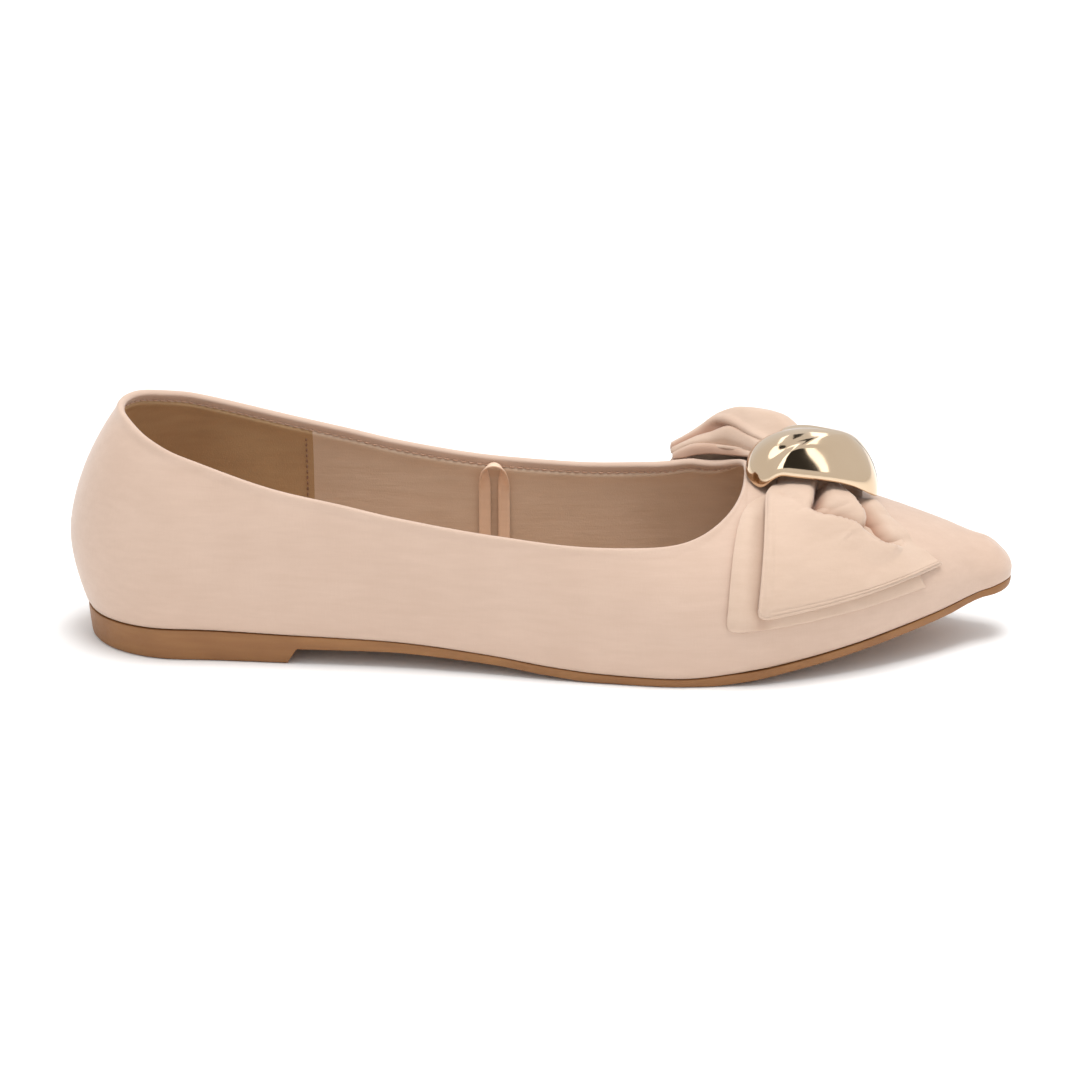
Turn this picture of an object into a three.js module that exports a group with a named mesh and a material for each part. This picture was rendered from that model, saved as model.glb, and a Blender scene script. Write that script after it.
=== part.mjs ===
// A woman's pointed ballet flat for the right foot: a satin upper with an open collar, a bow of two ribbons
// across the vamp held under a gold dome, an insole, a hanger loop, and a thin moulded sole with a low heel.
//
// Millimetres. X runs from heel to toe, +Y is the inner side of the foot (the wearer's left), Z is up from
// the floor. Every piece is worked out from the last: sections that fan round the heel, stand across the
// shoe, and fan round the toe. A place along the shoe is `at`, in millimetres from the back of the heel.

import * as THREE from "three";
import { mergeVertices } from "three/addons/utils/BufferGeometryUtils.js";

const OUTER = -1; // the side away from the other foot
const INNER = 1;
const RIGHT_ANGLE = Math.PI / 2;

const HEEL_CENTRE = 34; // the sections of the heel turn about this place on the spine
const TOE_CENTRE = 253.5; // and those of the toe about this one
const LENGTH = 262; // back of the heel to the tip of the toe
const MIDDLE = { x: 130.85, y: -0.4 }; // middle of the shoe's box, which stands on the origin

const WALL = 1.8; // satin, stiffener and lining together
const EDGE_BEAD = 0.45; // the folded collar edge stands this much proud of the wall
const EDGE_BEAD_DEPTH = 3; // and runs this far down from the edge
const GAP = 0.3; // between pieces that touch

// A table whose first row names its columns becomes a list of rows.
function table(columns, ...rows) {
  return rows.map((row) => Object.fromEntries(columns.map((name, i) => [name, row[i]])));
}

// A smooth curve through one column of a table, which never overshoots its rows.
function curve(rows, column, key = "at") {
  const x = rows.map((row) => row[key]);
  const y = rows.map((row) => row[column]);
  const step = x.slice(1).map((v, i) => v - x[i]);
  const rise = step.map((h, i) => (y[i + 1] - y[i]) / h);
  const slope = y.map((_, i) => {
    if (i === 0) return rise[0];
    if (i === y.length - 1) return rise[i - 1];
    if (rise[i - 1] * rise[i] <= 0) return 0;
    const before = 2 * step[i] + step[i - 1];
    const after = step[i] + 2 * step[i - 1];
    return (before + after) / (before / rise[i - 1] + after / rise[i]);
  });
  return (at) => {
    const last = x.length - 2;
    const i = Math.min(last, Math.max(0, x.findLastIndex((v) => v <= at)));
    const t = Math.min(1, Math.max(0, (at - x[i]) / step[i]));
    const back = 1 - t;
    return (
      y[i] * back * back * (1 + 2 * t) +
      y[i + 1] * t * t * (3 - 2 * t) +
      step[i] * (slope[i] * t * back * back - slope[i + 1] * t * t * back)
    );
  };
}

function curves(rows, columns) {
  return Object.fromEntries(columns.map((name) => [name, curve(rows, name)]));
}

const mix = (a, b, t) => a + (b - a) * t;
const clamp = (v, low = 0, high = 1) => Math.min(high, Math.max(low, v));
const ease = (t) => clamp(t) ** 2 * (3 - 2 * clamp(t));

// The last, a row for each section. spine: sideways place of the ridge. outer, inner: reach of the feather
// edge from the spine. seat: height of the feather edge. bellyOuter, bellyInner: how far the wall swells
// past the feather edge, at bellyHeight above it. crown: height where the section closes over the top.
// fullOuter, fullInner: how square the section is above the belly, 2 being an ellipse.
const LAST_COLUMNS = [
  "at", "spine", "outer", "inner", "seat", "bellyOuter", "bellyInner", "bellyHeight", "crown",
  "fullOuter", "fullInner",
];
const LAST = table(
  LAST_COLUMNS,
  [0, 0, 29.3, 29.3, 8.2, 4.8, 4.8, 21, 80, 1.6, 1.6],
  [12, 0, 27.6, 27.6, 8.4, 4.3, 4.3, 19.5, 79, 1.75, 1.75],
  [24, 0, 26.0, 26.0, 8.6, 3.6, 3.8, 17.5, 77.5, 1.9, 1.9],
  [34, 0, 25.4, 25.4, 8.8, 3.0, 3.4, 16, 75.5, 2.2, 2.4],
  [60, 0, 26.8, 25.4, 8.2, 2.0, 3.0, 14, 70, 2.4, 2.8],
  [90, 1, 30.0, 24.0, 7.5, 1.6, 3.2, 13, 67, 2.4, 2.7],
  [120, 3, 36.5, 22.0, 5.2, 1.4, 3.0, 12, 63.5, 2.3, 2.5],
  [134, 4.3, 40.8, 22.6, 3.6, 1.3, 2.6, 11.5, 61, 2.25, 2.5],
  [150, 5.5, 44.5, 24.0, 2.4, 1.2, 2.0, 11, 57.5, 2.2, 2.5],
  [170, 7, 48.0, 27.0, 2.1, 1.2, 1.4, 11, 51.5, 2.1, 2.4],
  [188, 7.5, 46.8, 27.8, 3.7, 1.2, 1.2, 11, 46.6, 2.1, 2.4],
  [203, 7.5, 42.2, 26.6, 5.7, 1.2, 1.2, 10, 43.4, 2.1, 2.3],
  [218, 7, 35.0, 23.8, 8.2, 1.1, 1.1, 9, 39.6, 2.1, 2.2],
  [233, 6.5, 25.6, 19.0, 11.1, 1.0, 1.0, 7, 35.2, 2.1, 2.1],
  [243, 6, 18.0, 14.6, 13.1, 0.8, 0.8, 5.5, 32.1, 2.0, 2.0],
  [253.5, 6, 9.6, 9.0, 15.5, 0.5, 0.5, 4, 28.5, 1.75, 1.75],
  [258, 6, 8.6, 8.4, 17.0, 0.4, 0.4, 3.2, 28.2, 1.5, 1.5],
  [262, 6, 8.0, 8.0, 17.2, 0.3, 0.3, 2.8, 28, 1.4, 1.4],
);
const last = curves(LAST, LAST_COLUMNS.slice(1));
const BELLY_POWER = 1.7; // how quickly the wall swells out above the feather edge

// The collar's edge: its height along both sides, up to where it turns in across the foot.
const COLLAR = table(
  ["at", "outer", "inner"],
  [0, 66.5, 66.5],
  [12, 65.2, 66],
  [24, 61.3, 64.0],
  [34, 57.7, 61.6],
  [60, 49.2, 54.8],
  [78, 45.6, 50.4],
  [90, 43.1, 47.4],
  [120, 39.0, 42.9],
  [150, 37.0, 40.6],
  [164, 37.0, 40.6],
  [172, 37.0, 42.3],
);
const collar = curves(COLLAR, ["outer", "inner"]);
const THROAT = 188; // where the collar crosses the spine
const THROAT_STARTS = { [OUTER]: 158, [INNER]: 172 }; // where it leaves each side
const THROAT_POWER = { [OUTER]: 2.6, [INNER]: 2.9 }; // 2 is an ellipse, more is squarer

const bySide = (side, outer, inner) => (side === OUTER ? outer : inner);

// The place on the spine and the direction of the section, seen from above.
function section(at, side) {
  const turn =
    at < HEEL_CENTRE
      ? -RIGHT_ANGLE * (1 - at / HEEL_CENTRE)
      : (RIGHT_ANGLE * Math.max(0, at - TOE_CENTRE)) / (LENGTH - TOE_CENTRE);
  return {
    x: clamp(at, HEEL_CENTRE, TOE_CENTRE),
    y: last.spine(at),
    alongX: Math.sin(turn),
    alongY: side * Math.cos(turn),
  };
}

function place(at, side, reach, z) {
  const s = section(at, side);
  return new THREE.Vector3(s.x + s.alongX * reach, s.y + s.alongY * reach, z);
}

// How far the wall's outside stands from the spine, and how high. rise: 0 at the feather edge, 1 at the
// belly, 2 at the crown.
function wallAt(at, side, rise) {
  const foot = last[bySide(side, "outer", "inner")](at);
  const swell = last[bySide(side, "bellyOuter", "bellyInner")](at);
  const full = last[bySide(side, "fullOuter", "fullInner")](at);
  const seat = last.seat(at);
  const bellyHeight = last.bellyHeight(at);
  if (rise <= 1) {
    return { reach: foot + swell * (1 - (1 - rise) ** BELLY_POWER), z: seat + bellyHeight * rise };
  }
  const angle = (rise - 1) * RIGHT_ANGLE;
  const above = last.crown(at) - seat - bellyHeight;
  return {
    reach: (foot + swell) * Math.max(0, Math.cos(angle)) ** (2 / full),
    z: seat + bellyHeight + above * Math.sin(angle) ** (2 / full),
  };
}

// The rise at which the wall is z high.
function riseAtHeight(at, side, z) {
  const belly = last.seat(at) + last.bellyHeight(at);
  if (z <= belly) return clamp((z - last.seat(at)) / last.bellyHeight(at));
  const share = clamp((z - belly) / (last.crown(at) - belly));
  const full = last[bySide(side, "fullOuter", "fullInner")](at);
  return 1 + Math.asin(share ** (full / 2)) / RIGHT_ANGLE;
}

// The rise at which the wall is `reach` from the spine, above the belly.
function riseAtReach(at, side, reach) {
  const widest = wallAt(at, side, 1).reach;
  const full = last[bySide(side, "fullOuter", "fullInner")](at);
  return 1 + Math.acos(clamp(reach / widest) ** (full / 2)) / RIGHT_ANGLE;
}

const wallPoint = (at, side, rise) => {
  const w = wallAt(at, side, rise);
  return place(at, side, w.reach, w.z);
};

// A point `lift` outside the wall, or inside it where lift is negative.
const NUDGE = 0.02; // a small step in `rise`, to find the wall's direction
function offWall(at, side, rise, lift) {
  const p = wallPoint(at, side, rise);
  if (rise >= 2) {
    const x = Math.min(at, TOE_CENTRE);
    const fall = last.crown(x - 0.5) - last.crown(x + 0.5);
    return p.add(new THREE.Vector3(fall, 0, 1).setLength(lift || Number.EPSILON));
  }
  const low = Math.max(0, rise - NUDGE);
  const high = Math.min(2 - NUDGE, rise + NUDGE);
  const up = wallPoint(at, side, high).sub(wallPoint(at, side, Math.min(low, high - NUDGE)));
  const back = Math.max(0, at - 0.5);
  const ahead = Math.min(LENGTH, at + 0.5);
  const held = Math.min(rise, 2 - NUDGE);
  const along = wallPoint(ahead, side, held).sub(wallPoint(back, side, held));
  const normal = along.cross(up).multiplyScalar(-side).normalize();
  return p.addScaledVector(normal, lift);
}

// Makes a closed solid from a list of loops of points, each joined to the next. A loop's points pair off
// from its two ends, and those pairs close the first and the last loop. `skip` leaves out a strip.
function skin(loops, { ring = false, skip = () => false } = {}) {
  const corners = [];
  const triangle = (...points) => points.forEach((p) => corners.push(p.x, p.y, p.z));
  const quad = (a, b, c, d) => {
    triangle(a, b, c);
    triangle(a, c, d);
  };
  const count = loops[0].length;
  const pairs = ring ? loops.length : loops.length - 1;
  for (let i = 0; i < pairs; i++) {
    const here = loops[i];
    const next = loops[(i + 1) % loops.length];
    for (let k = 0; k < count; k++) {
      const m = (k + 1) % count;
      if (!skip(i, k)) quad(here[k], next[k], next[m], here[m]);
    }
  }
  if (!ring) {
    const first = loops[0];
    const end = loops[loops.length - 1];
    for (let k = 0; k < count / 2 - 1; k++) {
      const far = count - 1 - k;
      quad(first[k], first[k + 1], first[far - 1], first[far]);
      quad(end[far], end[far - 1], end[k + 1], end[k]);
    }
  }
  return closed(corners);
}

// Joins the corners that share a place, drops the faces that have no area and turns the rest outwards.
const SAME_PLACE = 1e-3;
function closed(corners) {
  const loose = new THREE.BufferGeometry();
  loose.setAttribute("position", new THREE.Float32BufferAttribute(corners, 3));
  const joined = mergeVertices(loose, SAME_PLACE);
  const corner = (k) => new THREE.Vector3().fromBufferAttribute(joined.attributes.position, k);
  const faces = [];
  let volume = 0;
  for (let i = 0; i < joined.index.count; i += 3) {
    const [a, b, c] = [0, 1, 2].map((k) => joined.index.getX(i + k));
    if (a === b || b === c || c === a) continue;
    faces.push([a, b, c]);
    volume += corner(a).dot(corner(b).cross(corner(c)));
  }
  joined.setIndex(faces.flatMap(([a, b, c]) => (volume > 0 ? [a, b, c] : [a, c, b])));
  joined.computeVertexNormals();
  return joined;
}

const range = (count) => Array.from({ length: count }, (_, i) => i);
const steps = (from, to, count) => range(count).map((i) => mix(from, to, i / count));

// Places along one side of the shoe, closer together round the heel, the throat and the toe.
const HEEL_STEPS = 8;
const SIDE_STEPS = 13;
const THROAT_STEPS = 8;
const VAMP_STEPS = 9;
const TOE_STEPS = 5;
function placesAlong(side) {
  const turnsIn = THROAT_STARTS[side];
  return [
    ...steps(0, HEEL_CENTRE, HEEL_STEPS),
    ...steps(HEEL_CENTRE, turnsIn, SIDE_STEPS),
    ...range(THROAT_STEPS).map((i) => mix(turnsIn, THROAT, Math.sin((RIGHT_ANGLE * i) / THROAT_STEPS))),
    ...steps(THROAT, TOE_CENTRE, VAMP_STEPS),
    ...steps(TOE_CENTRE, LENGTH, TOE_STEPS),
    LENGTH,
  ];
}

// The rise of the upper's top: the collar's edge, or the crown where the vamp is closed.
function topOf(at, side) {
  if (at >= THROAT) return 2;
  const starts = THROAT_STARTS[side];
  const height = collar[bySide(side, "outer", "inner")];
  if (at <= starts) return riseAtHeight(at, side, height(at));
  const share = (at - starts) / (THROAT - starts);
  const power = THROAT_POWER[side];
  const wide = wallAt(starts, side, riseAtHeight(starts, side, height(starts))).reach;
  return riseAtReach(at, side, wide * (1 - share ** power) ** (1 / power));
}

// The bead of the collar's edge runs out where the collar crosses the vamp.
const beadAt = (at) => EDGE_BEAD * ease((THROAT - at) / 8);

// The upper is one shell: a loop for each section, up the outside and down the inside. Above the crown of
// the vamp the two sides' loops meet, so no strip closes them there.
const LOW_ROWS = 3;
const HIGH_ROWS = 8;
function upper() {
  const rows = LOW_ROWS + HIGH_ROWS;
  const column = (at, side) => {
    const top = topOf(at, side);
    const topZ = wallAt(at, side, top).z;
    const rises = range(rows + 1).map((k) =>
      k <= LOW_ROWS ? k / LOW_ROWS : mix(1, top, (k - LOW_ROWS) / HIGH_ROWS),
    );
    const outside = rises.map((rise) => {
      const below = topZ - wallAt(at, side, rise).z;
      return offWall(at, side, rise, beadAt(at) * ease(1 - below / EDGE_BEAD_DEPTH));
    });
    const inside = rises.map((rise) => {
      const p = offWall(at, side, rise, -WALL);
      return rise === 0 ? p.setZ(outside[0].z) : p;
    });
    return [...outside, ...inside.reverse()];
  };
  const around = [
    ...placesAlong(OUTER).reverse().map((at) => [at, OUTER]),
    ...placesAlong(INNER).slice(1, -1).map((at) => [at, INNER]),
  ];
  const isOpen = around.map(([at]) => at < THROAT);
  const skip = (i, k) => k === rows && !isOpen[i] && !isOpen[(i + 1) % around.length];
  return skin(around.map(([at, side]) => column(at, side)), { ring: true, skip });
}

// The outsole's underside: on the floor at the heel and the ball, hollow under the arch, sprung at the toe.
const BREAST = 62.3; // front of the heel
const BREAST_SLOPE = 2.6; // the heel's front leans forward this much as it rises
const TREAD_STARTS = 147; // the forefoot lies flat on the floor between these two
const TREAD_ENDS = 178;
const SOLE = table(
  ["at", "under"],
  [BREAST + BREAST_SLOPE, 4.2],
  [90, 4.4],
  [106, 3.7],
  [120, 2.7],
  [134, 1.1],
  [TREAD_STARTS, 0],
  [TREAD_ENDS, 0],
  [188, 1.0],
  [196, 2.2],
  [208, 4.1],
  [220, 6.2],
  [233, 8.7],
  [245, 11.2],
  [253.5, 13.3],
  [262, 15.1],
);
const under = curve(SOLE, "under");
const SOLE_LIP = 0.3; // the sole's top edge stands proud of the upper's feather edge
const HEEL_TAPER = 0.8; // the heel narrows by this much on its way to the floor
const EDGE_ROUNDING = 0.6;
function outsole() {
  const floorAt = (at) => (at <= BREAST ? 0 : under(at));
  const places = [
    ...steps(0, HEEL_CENTRE, HEEL_STEPS),
    ...steps(HEEL_CENTRE, BREAST, 4),
    BREAST,
    ...steps(BREAST + BREAST_SLOPE, TREAD_STARTS, 9),
    ...steps(TREAD_STARTS, TREAD_ENDS, 3),
    ...steps(TREAD_ENDS, TOE_CENTRE, 11),
    ...steps(TOE_CENTRE, LENGTH, TOE_STEPS),
    LENGTH,
  ];
  const edge = (at, side) => {
    const foot = last[bySide(side, "outer", "inner")](at) + SOLE_LIP;
    const top = last.seat(at) - GAP;
    const bottom = floorAt(at);
    const taper = HEEL_TAPER * ((top - bottom) / last.seat(0));
    return [
      place(at, side, foot - taper - EDGE_ROUNDING, bottom),
      place(at, side, foot - taper, bottom + EDGE_ROUNDING),
      place(at, side, foot, top),
    ];
  };
  return skin(places.map((at) => [...edge(at, OUTER), ...edge(at, INNER).reverse()]));
}

// The insole lies in the upper on the outsole, thicker and dished at the heel.
const INSOLE_THICK = 2.4;
const INSOLE_DISH = 1.2;
const DISH_FADES = 50; // over this length ahead of the heel's centre
const INSOLE_RIM = 0.7; // the dish starts at this share of the half width
const INSOLE_ENDS = 251;
const INSOLE_NARROWS = 241; // its places are closer together from here on
function insole() {
  const places = [
    ...steps(0, HEEL_CENTRE, HEEL_STEPS),
    ...steps(HEEL_CENTRE, INSOLE_NARROWS, 16),
    ...steps(INSOLE_NARROWS, INSOLE_ENDS, 3),
    INSOLE_ENDS,
  ];
  const edge = (at, side) => {
    const seat = last.seat(at);
    const dish = INSOLE_DISH * (1 - ease((at - HEEL_CENTRE) / DISH_FADES));
    const inside = (rise) => offWall(at, side, rise, -WALL - 1.5 * GAP);
    const top = inside(INSOLE_THICK / last.bellyHeight(at)).setZ(seat + INSOLE_THICK);
    const middle = place(at, side, 0, seat + INSOLE_THICK - dish);
    const rim = new THREE.Vector3().lerpVectors(middle, top, INSOLE_RIM);
    return [inside(0).setZ(seat), top, rim.setZ(middle.z)];
  };
  return skin(places.map((at) => [...edge(at, OUTER), ...edge(at, INNER).reverse()]));
}

// The bow. Each of its two ribbons runs from its outer end, over the vamp under the dome, to its inner
// end. `out` is 0 under the dome and 1 at the end of a wing; `across` is 0 at the ribbon's back edge and
// 1 at its front edge.
const KNOT = 208; // the dome stands over this place
const GATHERED = 0.2; // share of each wing that the dome holds gathered

// A wing from the dome to its end. back, front: where its edges lie. backOff, frontOff: how far it stands
// off the vamp there, past what the knot gives it.
const WING_COLUMNS = ["out", "back", "front", "backOff", "frontOff"];
const TOP_OUTER = table(
  WING_COLUMNS,
  [0, 196.5, 219, 0, 0],
  [0.17, 196, 219.5, 0, 0],
  [0.22, 193.8, 221.3, 0.2, 0],
  [0.3, 192.3, 225, 0.6, 0.3],
  [0.45, 191.9, 229.5, 0.9, 0.3],
  [0.6, 191.6, 233.5, 0.8, 0.3],
  [0.8, 191, 238, 0.5, 0.3],
  [1, 190.2, 241, 0.1, 0.1],
);
const TOP_INNER = table(
  WING_COLUMNS,
  [0, 196.5, 219, 0, 0],
  [0.17, 195.5, 219, 0.8, 0.3],
  [0.3, 187.5, 218, 8.8, 6],
  [0.45, 178, 217, 10.6, 7.5],
  [0.6, 170.3, 216.5, 8.6, 6.5],
  [0.8, 165.3, 216.5, 4, 3],
  [1, 163.2, 217, 0.4, 0.4],
);
const UNDER_OUTER = table(
  WING_COLUMNS,
  [0, 196, 218, 0, 0],
  [0.17, 195.6, 218.5, 0, 0],
  [0.24, 191.5, 222, 0, 0],
  [0.32, 187.6, 226, 0, 0],
  [0.42, 185.6, 229, 0, 0],
  [0.6, 184, 232, 0, 0],
  [1, 182.3, 236.5, 0, 0],
);
const UNDER_INNER = table(
  WING_COLUMNS,
  [0, 196, 218, 0, 0],
  [0.17, 195.6, 217.5, 0.2, 0],
  [0.3, 186, 216, 2.4, 1.2],
  [0.45, 176, 215, 3.4, 2],
  [0.6, 168.5, 214.5, 2.6, 1.8],
  [0.8, 163.5, 214.5, 1.2, 0.8],
  [1, 161.2, 214.5, 0, 0],
);

// The folds of a gathered wing, from its back edge to its front edge. shift: how far the fold is drawn
// along the shoe. high: its height. ends: share of the wing over which it has opened out flat.
const FOLD_COLUMNS = ["across", "shift", "high", "ends"];
const OUTER_FOLDS = table(
  FOLD_COLUMNS,
  [0, 0, 0, 0.9],
  [0.12, 0, 1.6, 0.8],
  [0.3, 0.6, 3.0, 0.75],
  [0.44, 1.4, 3.2, 0.55],
  [0.5, 0.4, 0.2, 0.46],
  [0.6, 0, 2.6, 0.55],
  [0.7, 0.4, 3.0, 0.66],
  [0.78, 0, 0.2, 0.66],
  [0.9, 0, 2.2, 0.8],
  [1, 0, 0, 0.9],
);
const INNER_FOLDS = table(
  FOLD_COLUMNS,
  [0, 0, 0, 0.9],
  [0.14, 0, 2.2, 0.9],
  [0.26, 0, 0.2, 0.8],
  [0.42, 0, 3.4, 0.9],
  [0.62, 0, 3.4, 0.9],
  [0.76, 0, 0.6, 0.7],
  [0.88, 0, 2.2, 0.8],
  [1, 0, 0, 0.9],
);
const FLAT_FOLDS = table(FOLD_COLUMNS, [0, 0, 0, 0.9], [1, 0, 0, 0.9]);

// ends: how high above the feather edge each wing's back and front corners end.
const TOP_RIBBON = {
  thick: 1.6,
  lift: 2.3,
  columns: 18,
  [OUTER]: { wing: TOP_OUTER, folds: OUTER_FOLDS, backHeight: 15.5, frontHeight: 13 },
  [INNER]: { wing: TOP_INNER, folds: INNER_FOLDS, backHeight: 17, frontHeight: 12 },
};
const UNDER_RIBBON = {
  thick: 1.5,
  lift: 0.35,
  columns: 8,
  [OUTER]: { wing: UNDER_OUTER, folds: FLAT_FOLDS, backHeight: 13, frontHeight: 9.5 },
  [INNER]: { wing: UNDER_INNER, folds: FLAT_FOLDS, backHeight: 14, frontHeight: 9.5 },
};

function ribbonPoint(ribbon, side, out, across, height) {
  const { wing, folds, backHeight, frontHeight } = ribbon[side];
  const along = (name) => curve(wing, name, "out")(out);
  const foldAt = (name) => curve(folds, name, "across")(across);
  const opened = ease((out - GATHERED) / (foldAt("ends") - GATHERED));
  const at = mix(along("back"), along("front"), across) + foldAt("shift") * (1 - opened);
  const endAt = mix(wing.at(-1).back, wing.at(-1).front, across);
  const endZ = last.seat(endAt) + mix(backHeight, frontHeight, across);
  const rise = mix(2, riseAtHeight(endAt, side, endZ), out);
  const freed = mix(0.5, 1, ease((out - GATHERED) / 0.15));
  const fold = foldAt("high") * freed * (1 - opened);
  const off = mix(along("backOff"), along("frontOff"), across);
  return offWall(at, side, rise, ribbon.lift + fold + off + height);
}

const RIBBON_ROWS = 26;
const THIN_EDGE = 0.45; // the turned edges are this share of the thickness
function ribbonSolid(ribbon) {
  const half = ribbon.thick / 2;
  const acrosses = range(ribbon.columns + 1).map((k) => k / ribbon.columns);
  const loops = range(2 * RIBBON_ROWS + 1).map((i) => {
    const along = i / RIBBON_ROWS - 1;
    const side = along < 0 ? OUTER : INNER;
    const layer = (way) =>
      acrosses.map((across) => {
        const plump = mix(THIN_EDGE, 1, Math.sin(Math.PI * across) ** 0.4);
        return ribbonPoint(ribbon, side, Math.abs(along), across, half * (1 + way * plump));
      });
    return [...layer(-1), ...layer(1).reverse()];
  });
  return skin(loops);
}

// The gold dome over the knot: a hollow bean, long from heel to toe. Its heel end comes down to the vamp,
// and from there to its toe end its sides are arched over the ribbons.
const DOME = {
  centre: 205.7,
  offSpine: -3.6, // it sits a little to the outer side
  length: 36.9,
  width: 28,
  squareness: 2.6, // of its outline seen from above, 2 being an ellipse
  apex: 58.5, // height of its top above the floor
  apexAhead: 8, // the top stands this far towards the toe from the middle
  arch: { [OUTER]: 8.2, [INNER]: 10.2 }, // height of the arches above the vamp
  archGain: 0.17, // they grow this much per millimetre towards the toe
  archStarts: 0.82, // the heel end of the arches, as a share of the half length
  archRises: 0.35,
  archFalls: 0.75, // share of its height that each arch loses towards the toe end
  wall: 1.2,
  tilt: THREE.MathUtils.degToRad(9), // toe end down
  full: 2.15, // squareness of its profile
};
const DOME_STEPS = 32;
const DOME_ROWS = 7;
function dome() {
  const spine = last.spine(DOME.centre);
  const middle = spine + DOME.offSpine;
  const outline = (share) => Math.sign(share) * Math.abs(share) ** (2 / DOME.squareness);
  const ringOf = (share, inset) =>
    range(DOME_STEPS).map((i) => {
      const round = (2 * Math.PI * i) / DOME_STEPS;
      const x = (DOME.length / 2 - inset) * outline(Math.cos(round));
      const y = (DOME.width / 2 - inset) * outline(Math.sin(round));
      const side = y < 0 ? OUTER : INNER;
      const reach = Math.abs(y + DOME.offSpine);
      const vamp = wallAt(DOME.centre + x, side, riseAtReach(DOME.centre + x, side, reach));
      const ahead = x / (DOME.length / 2);
      const risen = ease((DOME.archStarts + ahead) / DOME.archRises);
      const open = ahead < 0 ? risen : 1 - DOME.archFalls * ahead ** 3;
      const rim = vamp.z + 2 * GAP + (DOME.arch[side] + DOME.archGain * x) * open;
      const wide = Math.sin(share * RIGHT_ANGLE) ** (2 / DOME.full);
      const down = 1 - Math.cos(share * RIGHT_ANGLE) ** (2 / DOME.full);
      const top = DOME.apex - inset - x * wide * Math.sin(DOME.tilt);
      const along = DOME.centre + x * wide + DOME.apexAhead * (1 - wide);
      return new THREE.Vector3(along, middle + y * wide, mix(top, rim, down));
    });
  const shares = range(DOME_ROWS + 1).map((k) => k / DOME_ROWS);
  const outside = shares.map((share) => ringOf(share, 0));
  const inside = shares.map((share) => ringOf(share, DOME.wall)).reverse();
  return skin([...outside, ...inside]);
}

// The hanger loop: a narrow tape that stands up from the insole inside the inner wall, folded over at the
// top, where it turns edge on to the wall.
const HANGER = {
  at: 117,
  width: 3.3,
  thick: 0.5,
  spread: 5.4, // between its two legs
  top: 42.2,
  clearance: 0.9, // off the wall's inside
  twistsOver: 11, // length of each leg over which it turns
  steps: 26,
};
function hanger() {
  const foot = last.seat(HANGER.at - HANGER.spread) + INSOLE_THICK + GAP;
  const half = HANGER.spread / 2;
  const straight = HANGER.top - half - foot;
  const total = 2 * straight + Math.PI * half;
  const loops = range(HANGER.steps + 1).map((i) => {
    const s = (total * i) / HANGER.steps;
    const round = clamp((s - straight) / half, 0, Math.PI);
    const past = Math.max(0, s - straight - Math.PI * half);
    const z = s < straight ? foot + s : foot + straight + half * Math.sin(round) - past;
    const at = HANGER.at - half * Math.cos(round);
    const twist = RIGHT_ANGLE * ease(1 - Math.abs(s - total / 2) / HANGER.twistsOver);
    const inside = wallAt(at, INNER, riseAtHeight(at, INNER, z)).reach - WALL - HANGER.clearance;
    const outward = new THREE.Vector3(-Math.cos(round), 0, Math.sin(round));
    const inward = new THREE.Vector3(0, -1, 0);
    const centre = place(at, INNER, inside - (HANGER.width / 2) * Math.sin(twist), z);
    const turned = (a, b) => a.clone().multiplyScalar(Math.cos(twist)).addScaledVector(b, Math.sin(twist));
    const wide = turned(outward, inward).multiplyScalar(HANGER.width / 2);
    const thin = turned(inward, outward.negate()).multiplyScalar(HANGER.thick / 2);
    const corner = (w, t) => centre.clone().addScaledVector(wide, w).addScaledVector(thin, t);
    return [corner(-1, -1), corner(1, -1), corner(1, 1), corner(-1, 1)];
  });
  return skin(loops);
}

const shoe = new THREE.Group();
shoe.position.set(-MIDDLE.x, -MIDDLE.y, 0);

function add(name, geometry, color, roughness, metalness = 0) {
  const mesh = new THREE.Mesh(geometry, new THREE.MeshStandardMaterial({ color, roughness, metalness }));
  mesh.name = name;
  shoe.add(mesh);
}

const BLUSH = 0xe6c5b0;
const TAN = 0x96653b;
const NUDE = 0xb89577;
const GOLD = 0xcfb384;

add("upper", upper(), BLUSH, 0.55);
add("outsole", outsole(), TAN, 0.6);
add("insole", insole(), NUDE, 0.7);
add("under_ribbon", ribbonSolid(UNDER_RIBBON), BLUSH, 0.5);
add("top_ribbon", ribbonSolid(TOP_RIBBON), BLUSH, 0.5);
add("gold_dome", dome(), GOLD, 0.15, 1);
add("hanger_loop", hanger(), BLUSH, 0.6);

export default shoe;
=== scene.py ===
import bpy
import math
import numpy as np
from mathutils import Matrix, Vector


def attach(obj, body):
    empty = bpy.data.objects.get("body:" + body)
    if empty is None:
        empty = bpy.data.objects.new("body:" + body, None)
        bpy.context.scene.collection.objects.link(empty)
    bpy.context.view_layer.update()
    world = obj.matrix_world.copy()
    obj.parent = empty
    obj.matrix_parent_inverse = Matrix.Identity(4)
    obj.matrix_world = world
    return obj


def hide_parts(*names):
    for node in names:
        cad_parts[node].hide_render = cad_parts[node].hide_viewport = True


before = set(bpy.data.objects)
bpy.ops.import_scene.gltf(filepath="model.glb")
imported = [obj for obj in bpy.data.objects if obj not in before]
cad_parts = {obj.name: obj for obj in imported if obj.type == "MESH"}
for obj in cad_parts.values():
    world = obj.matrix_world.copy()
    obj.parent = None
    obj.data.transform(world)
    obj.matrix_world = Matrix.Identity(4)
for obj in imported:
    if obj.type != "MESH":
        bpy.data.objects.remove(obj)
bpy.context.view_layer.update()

# Camera: stands at the outer side of the shoe, a little towards the toe, and looks down on it with a long
# lens, as the photograph does.
LOOKS_AT = Vector((0.0, -0.0028, 0.02865))
AZIMUTH = math.radians(2.0)
ELEVATION = math.radians(19.5)
STANDS_OFF = 1.3
LENS = 156.72
SENSOR = 36
bpy.ops.object.select_all(action="DESELECT")
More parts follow.
